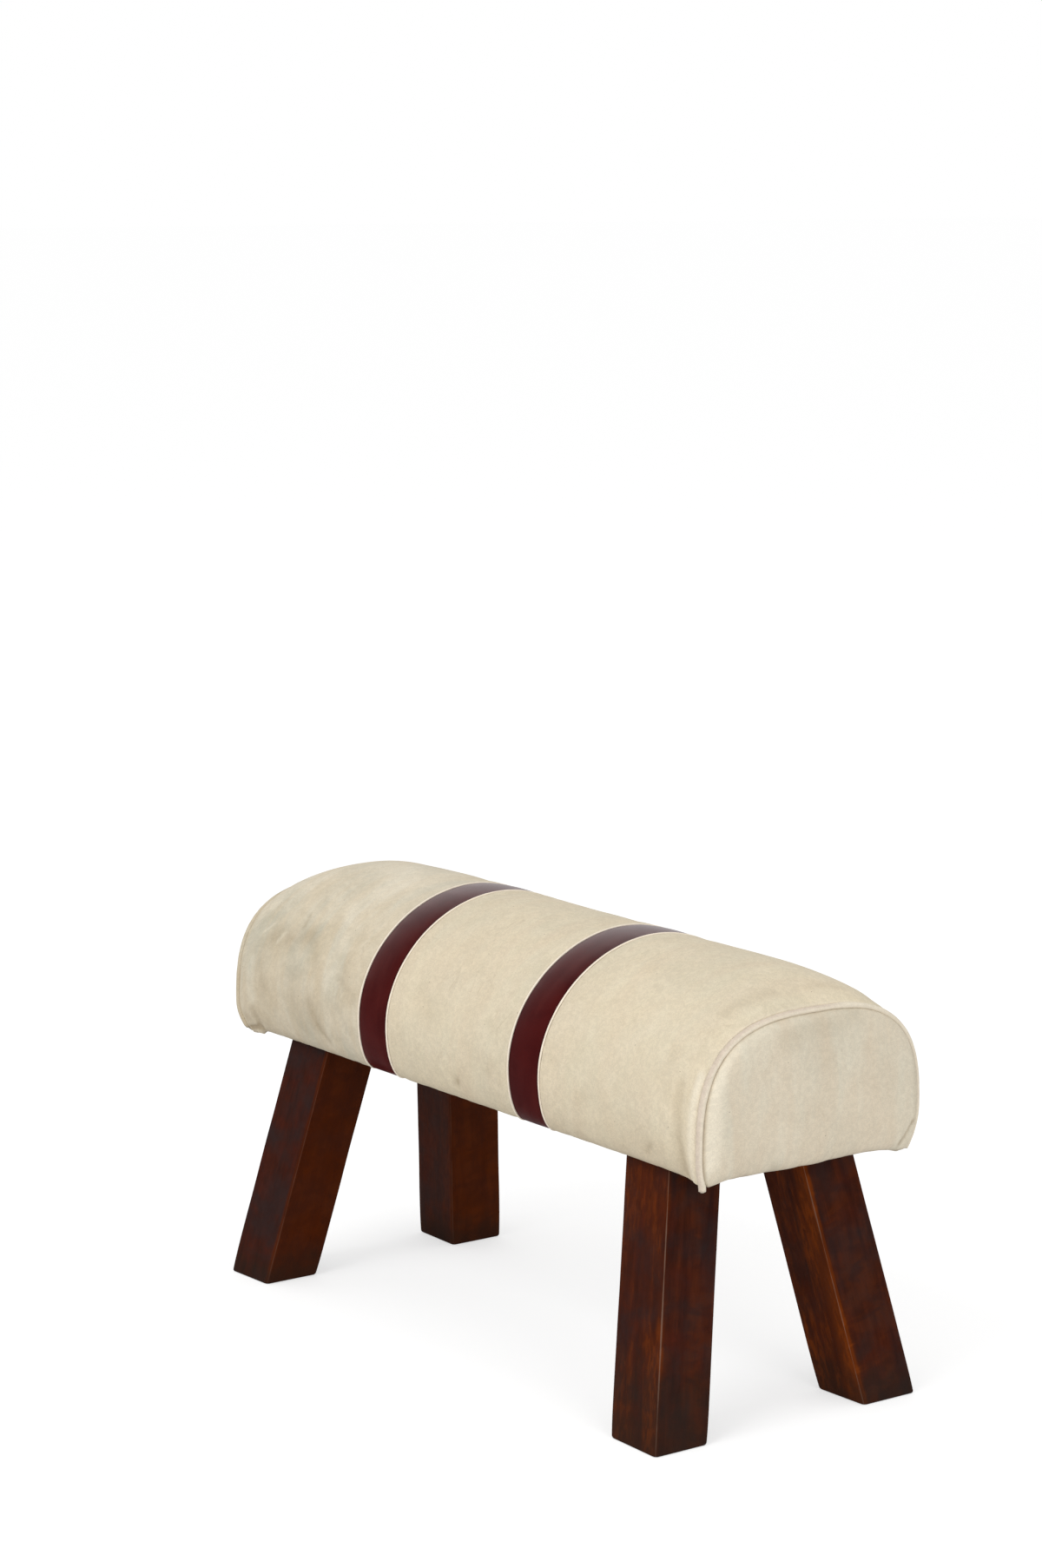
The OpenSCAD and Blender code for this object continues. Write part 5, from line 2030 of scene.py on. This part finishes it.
RIGHT_END_MARKS = strokes(
    (-0.045, 0.415, 0.05, 0.423, 0.015, 0.34),
    (-0.03, 0.395, 0.01, 0.385, 0.015, 0.16),
    (0.035, 0.35, 0.07, 0.33, 0.018, -0.2),
    (0.129, 0.39, 0.134, 0.305, 0.004, 0.35),
    (-0.132, 0.3, -0.128, 0.38, 0.0085, -0.9),
    (-0.128, 0.38, -0.098, 0.418, 0.007, -0.7),
    (0.118, 0.286, 0.131, 0.304, 0.0028, 0.7, -0.0016),
    (-0.09, 0.279, -0.086, 0.279, 0.004, 0.45, -0.0014),
    (-0.055, 0.286, -0.04, 0.28, 0.006, 0.3, -0.0006),
)
LEFT_END_MARKS = strokes(
    (-0.04, 0.418, 0.05, 0.42, 0.016, 0.3),
    (0.02, 0.33, 0.06, 0.35, 0.02, 0.2),
    (-0.12, 0.288, -0.131, 0.305, 0.003, 0.6, -0.0015),
)


def strap(end: End, seed: int) -> CoverPanel:
    """The dark band on one side of the seat's middle, as a panel of its own leather.

    Args:
        end: The side that it is on.
        seed: Picks its unevenness.

    Returns:
        The panel.
    """
    outer, inner = SEAMS.outer_x - SEAMS.beside_piping, SEAMS.inner_x + SEAMS.beside_piping
    start, stop = sorted((end.value * outer, end.value * inner))
    return CoverPanel(f"strap_{end.word}", f"band_{end.word}", start, stop, f"oxblood_{end.word}", seed,
                      (BAND_EDGE, BAND_EDGE), 0.0012, slot="oxblood_leather", cloudiness=0.0003, sag=0.0005,
                      pull=0.0002)


SEAM_OUT = SEAMS.outer_x + SEAMS.beside_piping
SEAM_IN = SEAMS.inner_x - SEAMS.beside_piping
PANELS = (
    CoverPanel("cover_left", "panel_left", -SEAMS.end_x, -SEAM_OUT, "cream_left", 3, (BY_WELT, BY_PIPING),
               -0.0010, LEFT_MARKS, Settling(), cloudiness=0.0009),
    CoverPanel("cover_centre", "panel_centre", -SEAM_IN, SEAM_IN, "cream_centre", 5, (BY_PIPING, BY_PIPING),
               -0.0012, CENTRE_MARKS, Settling()),
    CoverPanel("cover_right", "panel_right", SEAM_OUT, SEAMS.end_x, "cream_right", 7, (BY_PIPING, BY_WELT),
               0.0, RIGHT_MARKS, Settling()),
    strap(End.LEFT, 9),
    strap(End.RIGHT, 11),
)
PIPINGS = (
    Piping("outer_left", -SEAMS.outer_x),
    Piping("inner_left", -SEAMS.inner_x),
    Piping("inner_right", SEAMS.inner_x),
    Piping("outer_right", SEAMS.outer_x),
)
END_PANELS = (EndPanel(End.LEFT, 51, LEFT_END_MARKS), EndPanel(End.RIGHT, 57, RIGHT_END_MARKS))
WELTS = (Welt(End.LEFT, 0.0034, 0.0017, (0.2835, 0.2800), "cream_left"), Welt(End.RIGHT))
# Each leg gets a painted warm tint on its outward faces for the light that they catch, and its own strength
# of painted orange glints and rubbed edges.
LEGS = (
    Leg(End.LEFT, Side.FRONT, 2, warm=(1.0, 0.1), foot=(-0.0025, -0.0031), glint=0.15),
    Leg(End.LEFT, Side.BACK, 3, warm=(1.0, 0.6), foot=(0.0018, -0.0023), glint=0.25, wider=(0.001, 0.001)),
    Leg(End.RIGHT, Side.FRONT, 4, warm=(0.05, 0.45), foot=(-0.0015, 0.0020), glint=1.0, wider=(0.0057, 0.0),
        clean=0.42),
    Leg(End.RIGHT, Side.BACK, 5, warm=(0.1, 0.95), foot=(0.0019, 0.0024), glint=1.0, wider=(0.0, 0.0034),
        clean=0.8),
)
FORMERS = tuple(f"{kind}_{end.word}" for kind in ("end_former", "rib_outer", "rib_inner") for end in End)
CARRIED = (
    CarriedOver("birch_board", ("base_board",)),
    CarriedOver("birch_deck", ("deck",)),
    CarriedOver("birch_rib", FORMERS),
    CarriedOver("beech_block", tuple(f"leg_block_{s.word}_{e.word}" for s in Side for e in End)),
    CarriedOver("zinc_plate", ("leg_bolts", "leg_washers", "rib_screws", "deck_pins", "hem_staples",
                               "dust_cover_staples")),
    CarriedOver("turned_brass", ("leg_inserts",)),
)


def main() -> None:
    """Build the bench piece by piece, and the studio round it."""
    logging.basicConfig(level=logging.INFO, format="%(message)s")
    for item in (*FINISHES, Studio(), Padding(), *PANELS, *PIPINGS, *END_PANELS, *WELTS, *LEGS, DustCover()):
        item.build()
    for group in CARRIED:
        group.dress()


if __name__ == "__main__":
    main()
